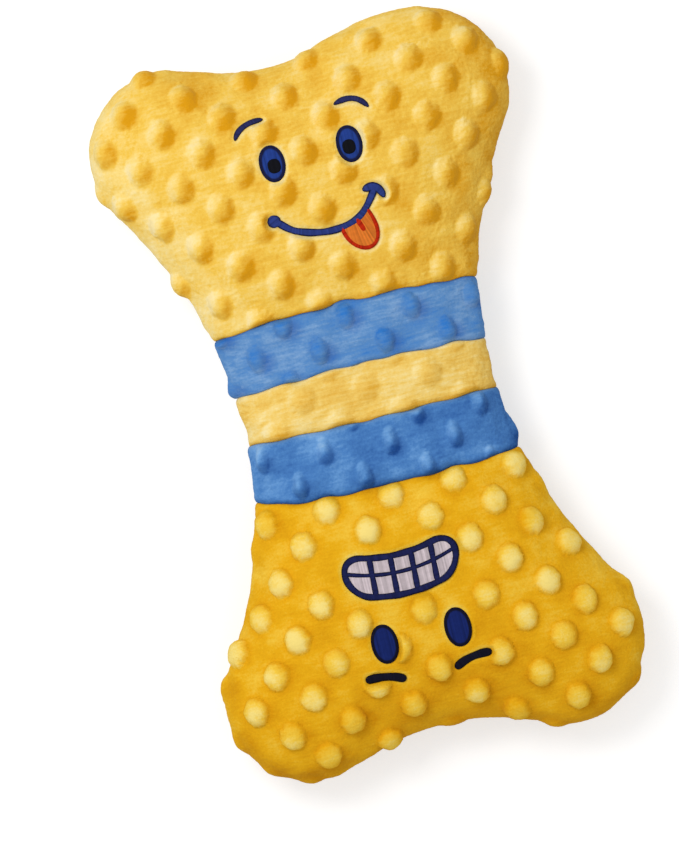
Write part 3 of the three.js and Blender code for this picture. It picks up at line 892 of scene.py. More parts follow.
@dataclass(frozen=True)
class Pillow:
    """The stuffed form under the cover's dots, swollen from a slightly smaller cut."""

    outline: Outline = Outline()
    nudges: tuple[Nudge, ...] = (UPPER_NUDGE, LOWER_NUDGE)
    mid_z: float = 0.02325
    end_half: float = 0.020
    waist_half: float = 0.016
    roll: float = 0.048
    roll_power: float = 2.3
    swell_start: float = 0.010
    swell_end: float = 0.070
    slack: float = 0.0015
    segments: tuple[int, int] = (240, 48)
    voxel: float = 0.0055
    seam_hold: float = 0.5
    rim_hold: float = 0.75
    pressure: float = 4.0
    frames: int = 20
    most_swell: float = 0.004
    spare_cloth: float = 0.012

    def shift(self, flat: np.ndarray) -> np.ndarray:
        """How far the form is fuller at places across and along the toy."""
        return sum(nudge.shift(flat) for nudge in self.nudges)

    def height(self, x: np.ndarray, y: np.ndarray) -> np.ndarray:
        """How far the form stands from its rim's level, at places inside the outline.

        Args:
            x: Places across the toy.
            y: Places along the toy.

        Returns:
            The heights from the rim's level.
        """
        swell = smoothstep(np.abs(y), self.swell_start, self.swell_end)
        half = self.waist_half + (self.end_half - self.waist_half) * swell - self.slack
        roll = np.clip(self.outline.edge_distance(x, y) / self.roll, 0, 1)
        return half * (1 - (1 - roll) ** self.roll_power) ** (1 / self.roll_power)

    def cut(self) -> bpy.types.Mesh:
        """The form before it is stuffed, from a round one drawn out to the outline.

        Returns:
            The form as a closed mesh.
        """
        bm = bmesh.new()
        around, up = self.segments
        bmesh.ops.create_uvsphere(bm, u_segments=around, v_segments=up, radius=1)
        mesh = mesh_of(bm, "pillow")
        unit = read_points(mesh)
        bearing = np.arctan2(unit[:, 1], unit[:, 0])
        reach = np.minimum(np.hypot(unit[:, 0], unit[:, 1]), 1) * self.outline.rim_reach(bearing)
        x = reach * np.cos(bearing)
        y = reach * np.sin(bearing)
        z = self.mid_z + np.sign(unit[:, 2]) * self.height(x, y)
        flat = np.stack([x, y], axis=1)
        write_points(mesh, np.column_stack([flat + self.shift(flat), z]))
        return modified(mesh, "REMESH", mode="VOXEL", voxel_size=self.voxel)

    def stuffed(self) -> bpy.types.Mesh:
        """The form after stuffing, held in at its cross seams and its rim.

        Returns:
            The form as a closed mesh.
        """
        obj = as_object("pillow", self.cut())
        rest = read_points(obj.data)
        write_points(obj.data, rest + self.swelling(obj, rest))
        mesh = modified(obj.data.copy(), "SUBSURF", levels=2, render_levels=2)
        bpy.data.objects.remove(obj)
        return mesh

    def swelling(self, obj: bpy.types.Object, rest: np.ndarray) -> np.ndarray:
        """Blows the form up as cloth.

        Args:
            obj: The form as cut.
            rest: Its vertices, one row each.

        Returns:
            How far each vertex moves, within the limit.
        """
        sewn = obj.vertex_groups.new(name="sewn")
        to_seam = np.min([np.abs(rest[:, 1] - seam.at(rest[:, 0])) for seam in SEAMS], axis=0)
        to_rim = np.abs(rest[:, 2] - self.mid_z)
        held = (to_seam < self.seam_hold * self.voxel) | (to_rim < self.rim_hold * self.voxel)
        sewn.add(np.nonzero(held)[0].tolist(), 1.0, "REPLACE")
        cloth = obj.modifiers.new("stuffing", "CLOTH")
        cloth.settings.use_pressure = True
        cloth.settings.uniform_pressure_force = self.pressure
        cloth.settings.effector_weights.gravity = 0
        cloth.settings.vertex_group_mass = sewn.name
        cloth.settings.shrink_min = -self.spare_cloth
        cloth.point_cache.frame_end = self.frames
        for step in range(1, self.frames + 1):
            bpy.context.scene.frame_set(step)
        swollen = settled(obj)
        moved = read_points(swollen) - rest
        bpy.data.meshes.remove(swollen)
        obj.modifiers.remove(cloth)
        bpy.context.scene.frame_set(1)
        length = np.linalg.norm(moved, axis=1)
        most, mean = length.max() / MM, length.mean() / MM
        log.info("stuffing moved the form by up to %.1f mm, %.1f mm on average", most, mean)
        return moved * np.minimum(1, self.most_swell / np.maximum(length, TINY))[:, None]


# The embroidery


@dataclass(frozen=True)
class Stitches:
    """A flat layout of stitches before it is laid on the cloth.

    Attributes:
        bm: The grid that carries the stitches.
        flat: Places across and along the toy, one row for each of the grid's vertices.
        inside: How far each place lies in from the outline.
        thread: Which stitch each place is on, counted along the row of stitches.
    """

    bm: bmesh.types.BMesh
    flat: np.ndarray
    inside: np.ndarray
    thread: np.ndarray


@dataclass(frozen=True)
class Motif:
    """A piece of embroidery of one thread, which stands for a node of the frame."""

    name: str
    finish: ThreadFinish
    edge: float = 0.0
    lift: float = 0.0
    thick: float = 0.75 * MM
    pitch: float = 0.62 * MM
    flattens: bool = False

    def layout(self) -> list[Stitches]:
        """The motif's stitches, in one or more rows."""
        raise NotImplementedError


@dataclass(frozen=True)
class Line(Motif):
    """Satin stitches side by side along one or more curves."""

    curves: tuple[Curve, ...] = ()
    widths: tuple[float, ...] = ()
    closed: bool = False
    ends: tuple[float, ...] = ()
    slant: float = 0.3
    samples: int = 400
    columns_per_stitch: int = 4
    fewest_columns: int = 12
    rows: int = 10
    ragged: float = 0.07
    ragged_beat: float = 12.9

    def layout(self) -> list[Stitches]:
        """One row of stitches for each curve.

        Returns:
            The rows.
        """
        loops = [self.closed and index == 0 for index in range(len(self.curves))]
        ends = self.ends or (0.0,) * len(self.curves)
        return [self.row(*parts) for parts in zip(self.curves, self.widths, loops, ends)]

    def row(self, curve: Curve, width: float, loop: bool, ends: float) -> Stitches:
        """Lays stitches across a curve.

        Args:
            curve: The line that the stitches follow.
            width: How wide they are.
            loop: Whether the line closes on itself.
            ends: How blunt its ends are: 2 is a lens and 0 makes them round.

        Returns:
            The row of stitches.
        """
        fine = curve(np.linspace(0, 1, self.samples))
        run = run_along(fine)
        length = run[-1]
        columns = max(self.fewest_columns, int(length / self.pitch * self.columns_per_stitch))
        bm = bmesh.new()
        bmesh.ops.create_grid(bm, x_segments=columns, y_segments=self.rows, size=1)
        grid = np.array([vertex.co[:2] for vertex in bm.verts])
        u = (grid[:, 0] + 1) / 2
        v = np.sin(grid[:, 1] * math.pi / 2)
        place = read_along(run, fine, u * length)
        heading = read_along(run, np.gradient(fine, run, axis=0), u * length)
        heading /= np.linalg.norm(heading, axis=1)[:, None]
        aside = np.stack([-heading[:, 1], heading[:, 0]], axis=1)
        thread = u * length / self.pitch + self.slant * v
        ragged = 1 + self.ragged * np.sin(self.ragged_beat * np.floor(thread)) * np.abs(v)
        blunt = ends or 2 * length / width
        share = 1.0 if loop else np.sqrt(1 - np.abs(2 * u - 1) ** blunt)
        half = width / 2 * share * ragged
        flat = place + aside * (v * half)[:, None]
        return Stitches(bm, flat, half * (1 - np.abs(v)), thread)


@dataclass(frozen=True)
class Fill(Motif):
    """Stitches side by side that run from one edge of a shape to the other."""

    first: Curve | None = None
    second: Curve | None = None
    samples: int = 160
    columns_per_stitch: int = 5
    fewest_rows: int = 24
    row_height: float = 0.5 * MM

    def layout(self) -> list[Stitches]:
        """The rows of stitches from the first edge to the second.

        Returns:
            The rows, in one layout.
        """
        share = np.linspace(0, 1, self.samples)
        rim = np.concatenate([self.first(share), self.second(share)[::-1]])
        run = run_along((self.first(share) + self.second(share)) / 2)
        columns = int(run[-1] / self.pitch * self.columns_per_stitch)
        rows = max(self.fewest_rows, int(np.linalg.norm(np.ptp(rim, axis=0)) / self.row_height))
        bm = bmesh.new()
        bmesh.ops.create_grid(bm, x_segments=columns, y_segments=rows, size=1)
        grid = np.array([vertex.co[:2] for vertex in bm.verts])
        u = (grid[:, 0] + 1) / 2
        v = ((np.sin(grid[:, 1] * math.pi / 2) + 1) / 2)[:, None]
        flat = self.first(u) * (1 - v) + self.second(u) * v
        inside = np.full(len(flat), np.inf)
        for point in rim:
            inside = np.minimum(inside, np.hypot(*(flat - point).T))
        return [Stitches(bm, flat, inside, np.interp(u, share, run) / self.pitch)]


def oval(x: float, y: float, wide: float, tall: float, power: float) -> dict[str, Curve]:
    """The left-to-right lower and upper edges of an oval, as the edges of a fill.

    Args:
        x: The place of its middle across the toy.
        y: The place of its middle along the toy.
        wide: Half its width.
        tall: Half its height.
        power: How square it is: 2 is an ellipse.

    Returns:
        The two edges by the names that a fill gives them.
    """

    def edge(direction: int) -> Curve:
        """One of the two edges.

        Args:
            direction: 1 for the upper edge, -1 for the lower.

        Returns:
            The edge as a curve.
        """

        def at(share: np.ndarray) -> np.ndarray:
            """Points on the edge, closer together at its ends.

            Args:
                share: Shares of the way from left to right.

            Returns:
                The points, one row each.
            """
            angle = (share - 0.5) * math.pi
            across = np.sign(np.sin(angle)) * np.abs(np.sin(angle)) ** (2 / power)
            along = np.abs(np.cos(angle)) ** (2 / power)
            return np.stack([x + wide * across, y + direction * tall * along], axis=1)

        return at

    return {"first": edge(-1), "second": edge(1)}


@dataclass(frozen=True)
class Face:
    """A face's brows and eyes. Drawings and their places are in millimetres from its centre."""

    end: str
    centre: Place
    eye: Span
    eye_places: Drawing
    eye_edge: float
    eye_finish: ThreadFinish
    brow: float
    brow_lines: tuple[Drawing, ...]
    brow_edge: float
    brow_finish: ThreadFinish
    brow_ends: tuple[float, ...] = ()
    roundness: float = 2.1

    def points(self, places: Drawing | np.ndarray) -> np.ndarray:
        """Places of a drawing in the toy's frame."""
        return np.array(self.centre) + np.array(places) * MM

    def bow(self, places: Drawing) -> Curve:
        """A Bezier curve by its control points."""
        return lambda share: bezier(self.points(places), share)

    def spot(self, place: Place, half: Span, power: float) -> dict[str, Curve]:
        """An oval at a place, by half its width and height."""
        x, y = self.points(place)
        return oval(x, y, *half, power)

    def line(
        self, name: str, finish: ThreadFinish, drawing: Drawing, width: float, **how: object
    ) -> Line:
        """A motif that follows one curve."""
        return Line(name, finish, curves=(self.bow(drawing),), widths=(width,), **how)

    def brows(self) -> list[Motif]:
        """The two brows.

        Returns:
            The left brow and the right.
        """
        how = {"edge": self.brow_edge, "ends": self.brow_ends}
        return [
            self.line(f"{self.end}_{side}_brow", self.brow_finish, drawing, self.brow, **how)
            for side, drawing in zip(SIDES, self.brow_lines)
        ]

    def eyes(self) -> list[Motif]:
        """The two eyes.

        Returns:
            The left eye and the right.
        """
        return [
            Fill(
                f"{self.end}_{side}_eye",
                self.eye_finish,
                edge=self.eye_edge,
                **self.spot(place, self.eye, self.roundness),
            )
            for side, place in zip(SIDES, self.eye_places)
        ]

    def others(self) -> list[Motif]:
        """What only this face has."""
        raise NotImplementedError

    def motifs(self) -> list[Motif]:
        """Every piece of the face's embroidery."""
        return [*self.brows(), *self.eyes(), *self.others()]


@dataclass(frozen=True)
class SmilingFace(Face):
    """The face at the upper end, which smiles and puts out its tongue."""

    end: str = "upper"
    centre: Place = (0.0, 0.093)
    eye: Span = (5.5 * MM, 7.9 * MM)
    eye_places: Drawing = ((-15.3, 10.5), (18.2, 10.9))
    eye_edge: float = 1.6 * MM
    eye_finish: ThreadFinish = EYE_BLUE
    brow: float = 2.6 * MM
    brow_lines: tuple[Drawing, ...] = (
        ((-28.2, 23.6), (-25.4, 30.6), (-14.6, 29.8)),
        ((15.8, 28.6), (25.4, 32.2), (29.9, 24.0)),
    )
    brow_edge: float = 0.5 * MM
    brow_finish: ThreadFinish = BROW_NAVY
    brow_ends: tuple[float, ...] = (3.4,)
    pupil: Span = (2.9 * MM, 3.2 * MM)
    pupil_places: Drawing = ((-14.7, 9.3), (17.8, 9.7))
    pupil_roundness: float = 2.4
    pupil_edge: float = 0.5 * MM
    pupil_lift: float = 0.45 * MM
    smile: float = 3.1 * MM
    smile_line: Drawing = ((-20, -13.2), (-12, -19.6), (2, -22.8), (15, -19.9), (24, -10))
    smile_start: float = 5.4 * MM
    start_line: Drawing = ((-21.2, -10.7), (-20.6, -13.2), (-19.4, -15.7))
    cheek: float = 3.9 * MM
    cheek_line: Drawing = ((18.8, -9.6), (26, -7), (27, -14.6))
    smile_ends: tuple[float, ...] = (0.0, 0.0, 2.6)
    smile_edge: float = 0.55 * MM
    smile_lift: float = 0.25 * MM
    lip_line: Drawing = ((6.8, -22.4), (14, -21), (18.9, -17.6))
    tongue_line: Drawing = ((6.8, -22.4), (7.8, -37.4), (27.2, -37.8), (18.9, -17.6))
    middle_line: Drawing = ((13.6, -20.4), (15.7, -26.2))
    tongue_fade: float = 0.3 * MM
    tongue_edge: float = 1.8 * MM
    tongue_edge_lift: float = 0.3 * MM
    tongue_middle: float = 2.3 * MM
    tongue_middle_lift: float = 0.4 * MM
    red_fade: float = 0.2 * MM

    def pupils(self) -> list[Motif]:
        """The two pupils, sewn over the eyes.

        Returns:
            The left pupil and the right.
        """
        return [
            Fill(
                f"{self.end}_{side}_pupil",
                BLACK,
                edge=self.pupil_edge,
                lift=self.pupil_lift,
                **self.spot(place, self.pupil, self.pupil_roundness),
            )
            for side, place in zip(SIDES, self.pupil_places)
        ]

    def mouth(self) -> Motif:
        """The smile with its rounded start and the tick at the cheek.

        Returns:
            The three lines as one motif.
        """
        return Line(
            "smile",
            SMILE_BLUE,
            edge=self.smile_edge,
            lift=self.smile_lift,
            curves=(
                lambda share: spline(self.points(self.smile_line), share),
                self.bow(self.start_line),
                self.bow(self.cheek_line),
            ),
            widths=(self.smile, self.smile_start, self.cheek),
            ends=self.smile_ends,
        )

    def others(self) -> list[Motif]:
        """The pupils, the smile and the tongue.

        Returns:
            The motifs in the order of sewing.
        """
        edge = {"edge": self.red_fade, "lift": self.tongue_edge_lift}
        middle = {"edge": self.red_fade, "lift": self.tongue_middle_lift}
        lips = {"first": self.bow(self.lip_line), "second": self.bow(self.tongue_line)}
        return [
            *self.pupils(),
            self.mouth(),
            Fill("tongue", CORAL, edge=self.tongue_fade, **lips),
            self.line("tongue_edge", RED, self.tongue_line, self.tongue_edge, **edge),
            self.line("tongue_line", RED, self.middle_line, self.tongue_middle, **middle),
        ]


@dataclass(frozen=True)
class GrittedFace(Face):
    """The face at the lower end, which shows its teeth."""

    end: str = "lower"
    centre: Place = (0.0, -0.093)
    eye: Span = (5.7 * MM, 8.4 * MM)
    eye_places: Drawing = ((-18.2, -11), (13.4, -11.4))
    eye_edge: float = 1.5 * MM
    eye_finish: ThreadFinish = DARK_EYE_BLUE
    brow: float = 3.6 * MM
    brow_lines: tuple[Drawing, ...] = (
        ((-29.8, -24.3), (-20.5, -23.2), (-12.8, -27.6)),
        ((8.3, -28.4), (14, -23.8), (24.8, -24.8)),
    )
    brow_edge: float = 0.4 * MM
    brow_finish: ThreadFinish = BROW_BLACK
    mouth: Place = (-3.7, 16.0)
    mouth_half: Span = (25.3, 9.8)
    mouth_bend: float = 5.3
    rim: float = 3.0 * MM
    rim_fade: float = 0.6 * MM
    rim_lift: float = 0.35 * MM
    tooth_line: float = 2.9 * MM
    tooth_gaps: int = 4
    tooth_pitch: float = 8.85
    tooth_offset: float = 0.6
    tooth_slant: float = 0.4
    teeth_margin: float = 0.5
    teeth_fade: float = 0.1 * MM
    bite_line: float = 2.1 * MM
    bite_rise: float = 1.1
    bite_bend: float = 4.4

    @property
    def half_rim(self) -> float:
        """Half the width of the mouth's stitched rim, in millimetres."""
        return self.rim / MM / 2

    def lip(self, direction: int, margin: float) -> Curve:
        """The mouth's lower or upper edge from left to right, in from its rim by a margin.

        Args:
            direction: 1 for the upper edge, -1 for the lower.
            margin: How far in, in millimetres.

        Returns:
            The edge as a curve.
        """
        wide, tall = (half - margin for half in self.mouth_half)

        def at(share: np.ndarray) -> np.ndarray:
            """Points on the edge, closer together at its ends.

            Args:
                share: Shares of the way from left to right.

            Returns:
                The points, one row each.
            """
            x = wide * np.sin((share - 0.5) * math.pi)
            into_end = np.maximum(np.abs(x) - (wide - tall), 0)
            y = direction * np.sqrt(np.maximum(tall**2 - into_end**2, 0))
            y += self.mouth_bend * (x / self.mouth_half[0]) ** 2
            return self.points(np.array(self.mouth) + np.stack([x, y], axis=1))

        return at

    def mouth_rim(self, share: np.ndarray) -> np.ndarray:
        """Points round the middle of the mouth's stitched rim.

        Args:
            share: Shares of the way round.

        Returns:
            The points, one row each.
        """
        below = self.lip(-1, self.half_rim)(np.clip(2 * share, 0, 1))
        above = self.lip(1, self.half_rim)(np.clip(2 - 2 * share, 0, 1))
        return np.where(share[:, None] < 0.5, below, above)

    def tooth_gap(self, column: float) -> Curve:
        """The line between two teeth.

        Args:
            column: Which gap, counted from the mouth's middle.

        Returns:
            The line as a curve.
        """
        across = self.tooth_offset + column * self.tooth_pitch
        lift = self.mouth_bend * (across / self.mouth_half[0]) ** 2
        reach = self.mouth_half[1] - self.half_rim
        x, y = self.mouth
        foot = (x + across - self.tooth_slant, y + lift - reach)
        return self.bow((foot, (x + across + self.tooth_slant, y + lift + reach)))

    def bite(self) -> Curve:
        """The line between the upper and the lower teeth.

        Returns:
            The line as a curve.
        """
        x, y = self.mouth
        half = self.mouth_half[0] - self.half_rim
        middle = y + self.bite_rise
        ends = middle + self.bite_bend
        return self.bow(((x - half, ends), (x, middle - self.bite_bend), (x + half, ends)))

    def others(self) -> list[Motif]:
        """The block of teeth, and the mouth's rim with the lines between the teeth.

        Returns:
            The motifs in the order of sewing.
        """
        first_gap = (1 - self.tooth_gaps) / 2
        gaps = [self.tooth_gap(first_gap + column) for column in range(self.tooth_gaps)]
        teeth = Fill(
            "teeth",
            WHITE,
            edge=self.teeth_fade,
            flattens=True,
            first=self.lip(-1, self.teeth_margin),
            second=self.lip(1, self.teeth_margin),
        )
        lines = Line(
            "mouth_lines",
            RIM_NAVY,
            edge=self.rim_fade,
            lift=self.rim_lift,
            closed=True,
            curves=(self.mouth_rim, self.bite(), *gaps),
            widths=(self.rim, self.bite_line, *(self.tooth_line for _ in gaps)),
        )
        return [teeth, lines]


class Needlework:
    """Lays the embroidery on the front of the stuffed form."""

    sink = 0.35 * MM
    depth = 1.3 * MM
    ridge = 0.13 * MM
    round_edge = 0.9 * MM
    edge_start = 0.75
    edge_stop = 1.15
    thinning = 3
    headroom = 10 * MM

    def __init__(self, front: bpy.types.Mesh, wardrobe: Wardrobe) -> None:
        """Takes the front of the stuffed form as the ground to sew on.

        Args:
            front: The front of the stuffed form.
            wardrobe: The finishes' materials.
        """
        points = read_points(front)
        faces = [face.vertices[:] for face in front.polygons]
        self.ground = BVHTree.FromPolygons(points.tolist(), faces)
        self.ceiling = float(points[:, 2].max()) + self.headroom
        self.wardrobe = wardrobe
        self.sewn: list[np.ndarray] = []
        self.flattened: list[np.ndarray] = []

    def level(self, flat: np.ndarray) -> np.ndarray:
        """The height of the ground at places across and along the toy.

        Args:
            flat: The places, one row each.

        Returns:
            The heights.
        """
        down = Vector((0, 0, -1))
        starts = [Vector((x, y, self.ceiling)) for x, y in flat.tolist()]
        return np.array([self.ground.ray_cast(start, down)[0].z for start in starts])

    def sew(self, motif: Motif) -> bpy.types.Object:
        """Makes one motif as raised threads lying on the cloth.

        Args:
            motif: What to sew.

        Returns:
            The finished piece.
        """
        whole = bmesh.new()
        for stitches in motif.layout():
            part = self.raised(motif, stitches)
            whole.from_mesh(part)
            bpy.data.meshes.remove(part)
            self.sewn.append(stitches.flat[:: self.thinning])
            if motif.flattens:
                self.flattened.append(stitches.flat[:: self.thinning])
        piece = as_object(f"{motif.name}_stitches", mesh_of(whole, motif.name))
        self.wardrobe.dress(piece, motif.finish)
        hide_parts(motif.name)
        return piece

    def raised(self, motif: Motif, stitches: Stitches) -> bpy.types.Mesh:
        """Lifts a layout of stitches onto the cloth and closes it underneath.

        Args:
            motif: The motif that it belongs to.
            stitches: The layout.

        Returns:
            One closed mesh with its thread numbers and its outline's share.
        """
        bm = stitches.bm
        into = np.clip(stitches.inside / self.round_edge, 0, 1)
        crown = np.sqrt(1 - (1 - into) ** 2)
        turn = 2 * (stitches.thread % 1) - 1
        ridge = self.ridge * np.sqrt(1 - turn**2) * np.minimum(into * 2, 1)
        z = self.level(stitches.flat) - self.sink + motif.lift + motif.thick * crown + ridge
        fade = self.edge_start * motif.edge, self.edge_stop * motif.edge + MERGE
        edge = 1 - smoothstep(stitches.inside, *fade)
        threads = bm.verts.layers.float.new("thread")
        edges = bm.verts.layers.float.new("edge")
        for row, vertex in enumerate(bm.verts):
            vertex.co = (*stitches.flat[row], z[row])
            vertex[threads] = stitches.thread[row]
            vertex[edges] = edge[row]
        bmesh.ops.remove_doubles(bm, verts=bm.verts[:], dist=MERGE)
        rim = [side for side in bm.edges if side.is_boundary]
        skirt = bmesh.ops.extrude_edge_only(bm, edges=rim)["geom"]
        feet = [part for part in skirt if isinstance(part, bmesh.types.BMVert)]
        bmesh.ops.translate(bm, verts=feet, vec=(0, 0, -self.depth))
        bmesh.ops.holes_fill(bm, edges=[side for side in bm.edges if side.is_boundary])
        bmesh.ops.recalc_face_normals(bm, faces=bm.faces[:])
        return mesh_of(bm, motif.name)

    def clearance(self, points: np.ndarray) -> np.ndarray:
        """How far each point lies from the nearest stitch, seen from above.

        Args:
            points: The points, one row each.

        Returns:
            The distances.
        """
        spots = np.concatenate(self.sewn)
        tree = KDTree(len(spots))
        for index, (x, y) in enumerate(spots.tolist()):
            tree.insert((x, y, 0), index)
        tree.balance()
        return np.array([tree.find((x, y, 0))[2] for x, y, _ in points.tolist()])


# The cover


@dataclass(frozen=True)
class DotGrid:
    """A staggered grid of raised dots on one strip of cloth.

    Attributes:
        x: The place of one dot across the toy.
        y: The place of that dot's row along the toy, at the toy's middle.
        lean: How much a row climbs across the toy.
        drift: How far each row is shifted sideways from the one below it.
        wide: Half a dot's width.
        long: Half a dot's length.
        taper: How much of a dot's length lies above its middle, 1 for half of it.
        narrowing: How much closer the dots lie towards the toy's sides.
        jitter: How far a dot strays from its mark.
        rim_reach: How far outside the rim a dot's mark may lie.
        rim_inset: How near the rim a dot is moved onto it.
        press: Where the painted shadow beside a dot is centred, from the dot's middle.
    """

    x: float
    y: float
    shape: DotShape
    height: float
    seed: int
    lean: float = 0.0
    drift: float = 0.0
    wide: float = 5.3 * MM
    long: float = 5.3 * MM
    pitch: float = 27.6 * MM
    row: float = 12.6 * MM
    taper: float = 1.0
    narrowing: float = 0.05
    side_reach: float = 0.6
    jitter: float = 0.35 * MM
    sizes: Span = (0.86, 1.06)
    size_seed: int = 50
    lumpy: float = 0.1
    lump_size: float = 3 * MM
    lump_seed: float = 0.2
    ragged: float = 0.06
    ragged_size: float = 1.3 * MM
    rim_reach: float = 3.5 * MM
    rim_inset: float = 1.0 * MM
    swell_reach: float = 1.35
    swell_power: float = 1.5
    # The painted shadow beside each dot: where it is centred and how far it reaches.
    press: Place = (1.6 * MM, -1.8 * MM)
    shadow_reach: float = 1.75

    def spots(self, outline: Outline) -> np.ndarray:
        """Places of the grid's dots as far as the rim, each a little off its mark.

        Args:
            outline: The toy's outline.

        Returns:
            Places across and along the toy, one row each.
        """
        reach = int(outline.length / self.row) + 1
        steps = np.arange(-reach, reach + 1)
        rows, columns = (step.ravel() for step in np.meshgrid(steps, steps))
        x = self.x + (columns + np.where(rows % 2, 0.5, 0)) * self.pitch + rows * self.drift
        y = self.y + rows * self.row + self.lean * x
        near = np.abs(x) < self.side_reach * outline.width
        x *= 1 - self.narrowing * (2 * x / outline.width) ** 2
        inside = near & (outline.edge_distance(x, y) > -self.rim_reach)
        found = np.stack([x, y], axis=1)[inside]
        return found + np.random.default_rng(self.seed).normal(0, self.jitter, found.shape)

    def profile(self, share: np.ndarray) -> np.ndarray:
        """A dot's height as a share of its full height, by the share of its radius."""
        reach, fullness, slope = self.shape.value
        return (1 - np.clip(share / reach, 0, 1) ** fullness) ** slope

    def swell(self, share: np.ndarray) -> np.ndarray:
        """The height of a dot that the rim seam has flattened, by the share of its radius."""
        return np.cos(np.clip(share / self.swell_reach, 0, 1) * math.pi / 2) ** self.swell_power

    def on_rim(self, spot: np.ndarray, pillow: Pillow) -> np.ndarray | None:
        """The place on the rim seam that a dot moves to, or None if the dot is on a face.

        Args:
            spot: The dot's place across and along the toy.
            pillow: The stuffed form.

        Returns:
            The new place, or None.
        """
        home = spot - pillow.shift(spot)
        if pillow.outline.edge_distance(*home) >= self.rim_inset:
            return None
        bearing = np.arctan2(home[1], home[0])
        rim = pillow.outline.rim_reach(bearing) * np.array([np.cos(bearing), np.sin(bearing)])
        return rim + pillow.shift(rim)

    def rises(
        self, points: np.ndarray, pillow: Pillow, flattened: list[np.ndarray]
    ) -> tuple[np.ndarray, np.ndarray, np.ndarray]:
        """How far each point is up a dot, from 0 on flat cloth to about 1 on a tip.

        Args:
            points: Places on the cloth, one row each.
            pillow: The stuffed form.
            flattened: Places of embroidery that leaves no dots standing.

        Returns:
            One value for each point from the dots on the face, one from those on the rim, and how
            strongly the painted shadow beside a dot lies there.
        """
        uneven = self.lumpy * ripple(points, self.lump_size, self.seed + self.lump_seed)
        uneven += self.ragged * ripple(points, self.ragged_size, self.seed)
        faces = np.zeros(len(points))
        rims = np.zeros(len(points))
        dot_shadow = np.zeros(len(points))
        sizes = np.random.default_rng(self.seed + self.size_seed)
        for spot in self.spots(pillow.outline):
            size = sizes.uniform(*self.sizes)
            nearest = points[np.argmin(np.hypot(*(points[:, :2] - spot).T))]
            if np.hypot(*(nearest[:2] - spot)) > 2 * self.long:
                continue
            if any(np.hypot(*(patch - spot).T).min() < self.long for patch in flattened):
                continue
            rim = self.on_rim(spot, pillow)
            middle = [*spot, nearest[2]] if rim is None else [*rim, pillow.mid_z]
            across, along, up = (points - middle).T
            long = self.long * np.where(along > 0, self.taper, 2 - self.taper)
            share = np.sqrt((across / self.wide) ** 2 + (along / long) ** 2 + (up / self.wide) ** 2)
            share *= 1 + uneven
            # Painted shadow: a soft spot off each dot towards its lower right.
            beside = np.hypot(across - self.press[0], along - self.press[1])
            beside = np.clip(beside / (self.shadow_reach * self.wide), 0, 1)
            np.maximum(dot_shadow, (1 - beside**2) ** 2, out=dot_shadow)
            if rim is None:
                np.maximum(faces, size * self.profile(share), out=faces)
            else:
                np.maximum(rims, size * self.swell(share), out=rims)
        return faces, rims, dot_shadow


@dataclass(frozen=True)
class Strip:
    """One strip of the cover between two cross seams, or between one and an end of the toy.

    Attributes:
        crease: How high the fine creases stand.
        nap: Painted highlight and shade on the slopes of dots and lumps, paler or deeper by where they
            face.
        brushed: Painted highlight and shade on the slopes of the stuffed form, paler or deeper by
            where they face.
        dot_shadow: How much deeper the tone is in the painted shadow beside a dot.
        shadow: How dark that painted shadow is, as a share of the painted shade in a seam.
        darkest_slope_shade: The deepest painted shade that the slopes of dots and lumps give.
        rim_share: How high a dot on the rim stands, as a share of one on a face.
    """

    name: str
    finish: PlushFinish
    dots: DotGrid
    above: CrossSeam | None
    below: CrossSeam | None
    crease: float
    # These paint highlight, shade and shadow into the cloth's tone.
    nap: Place
    brushed: Place = (0.0, 0.0)
    dot_shadow: float = 0.0
    shadow: float = 0.0
    darkest_slope_shade: float = -0.6
    rim_share: float = 0.5


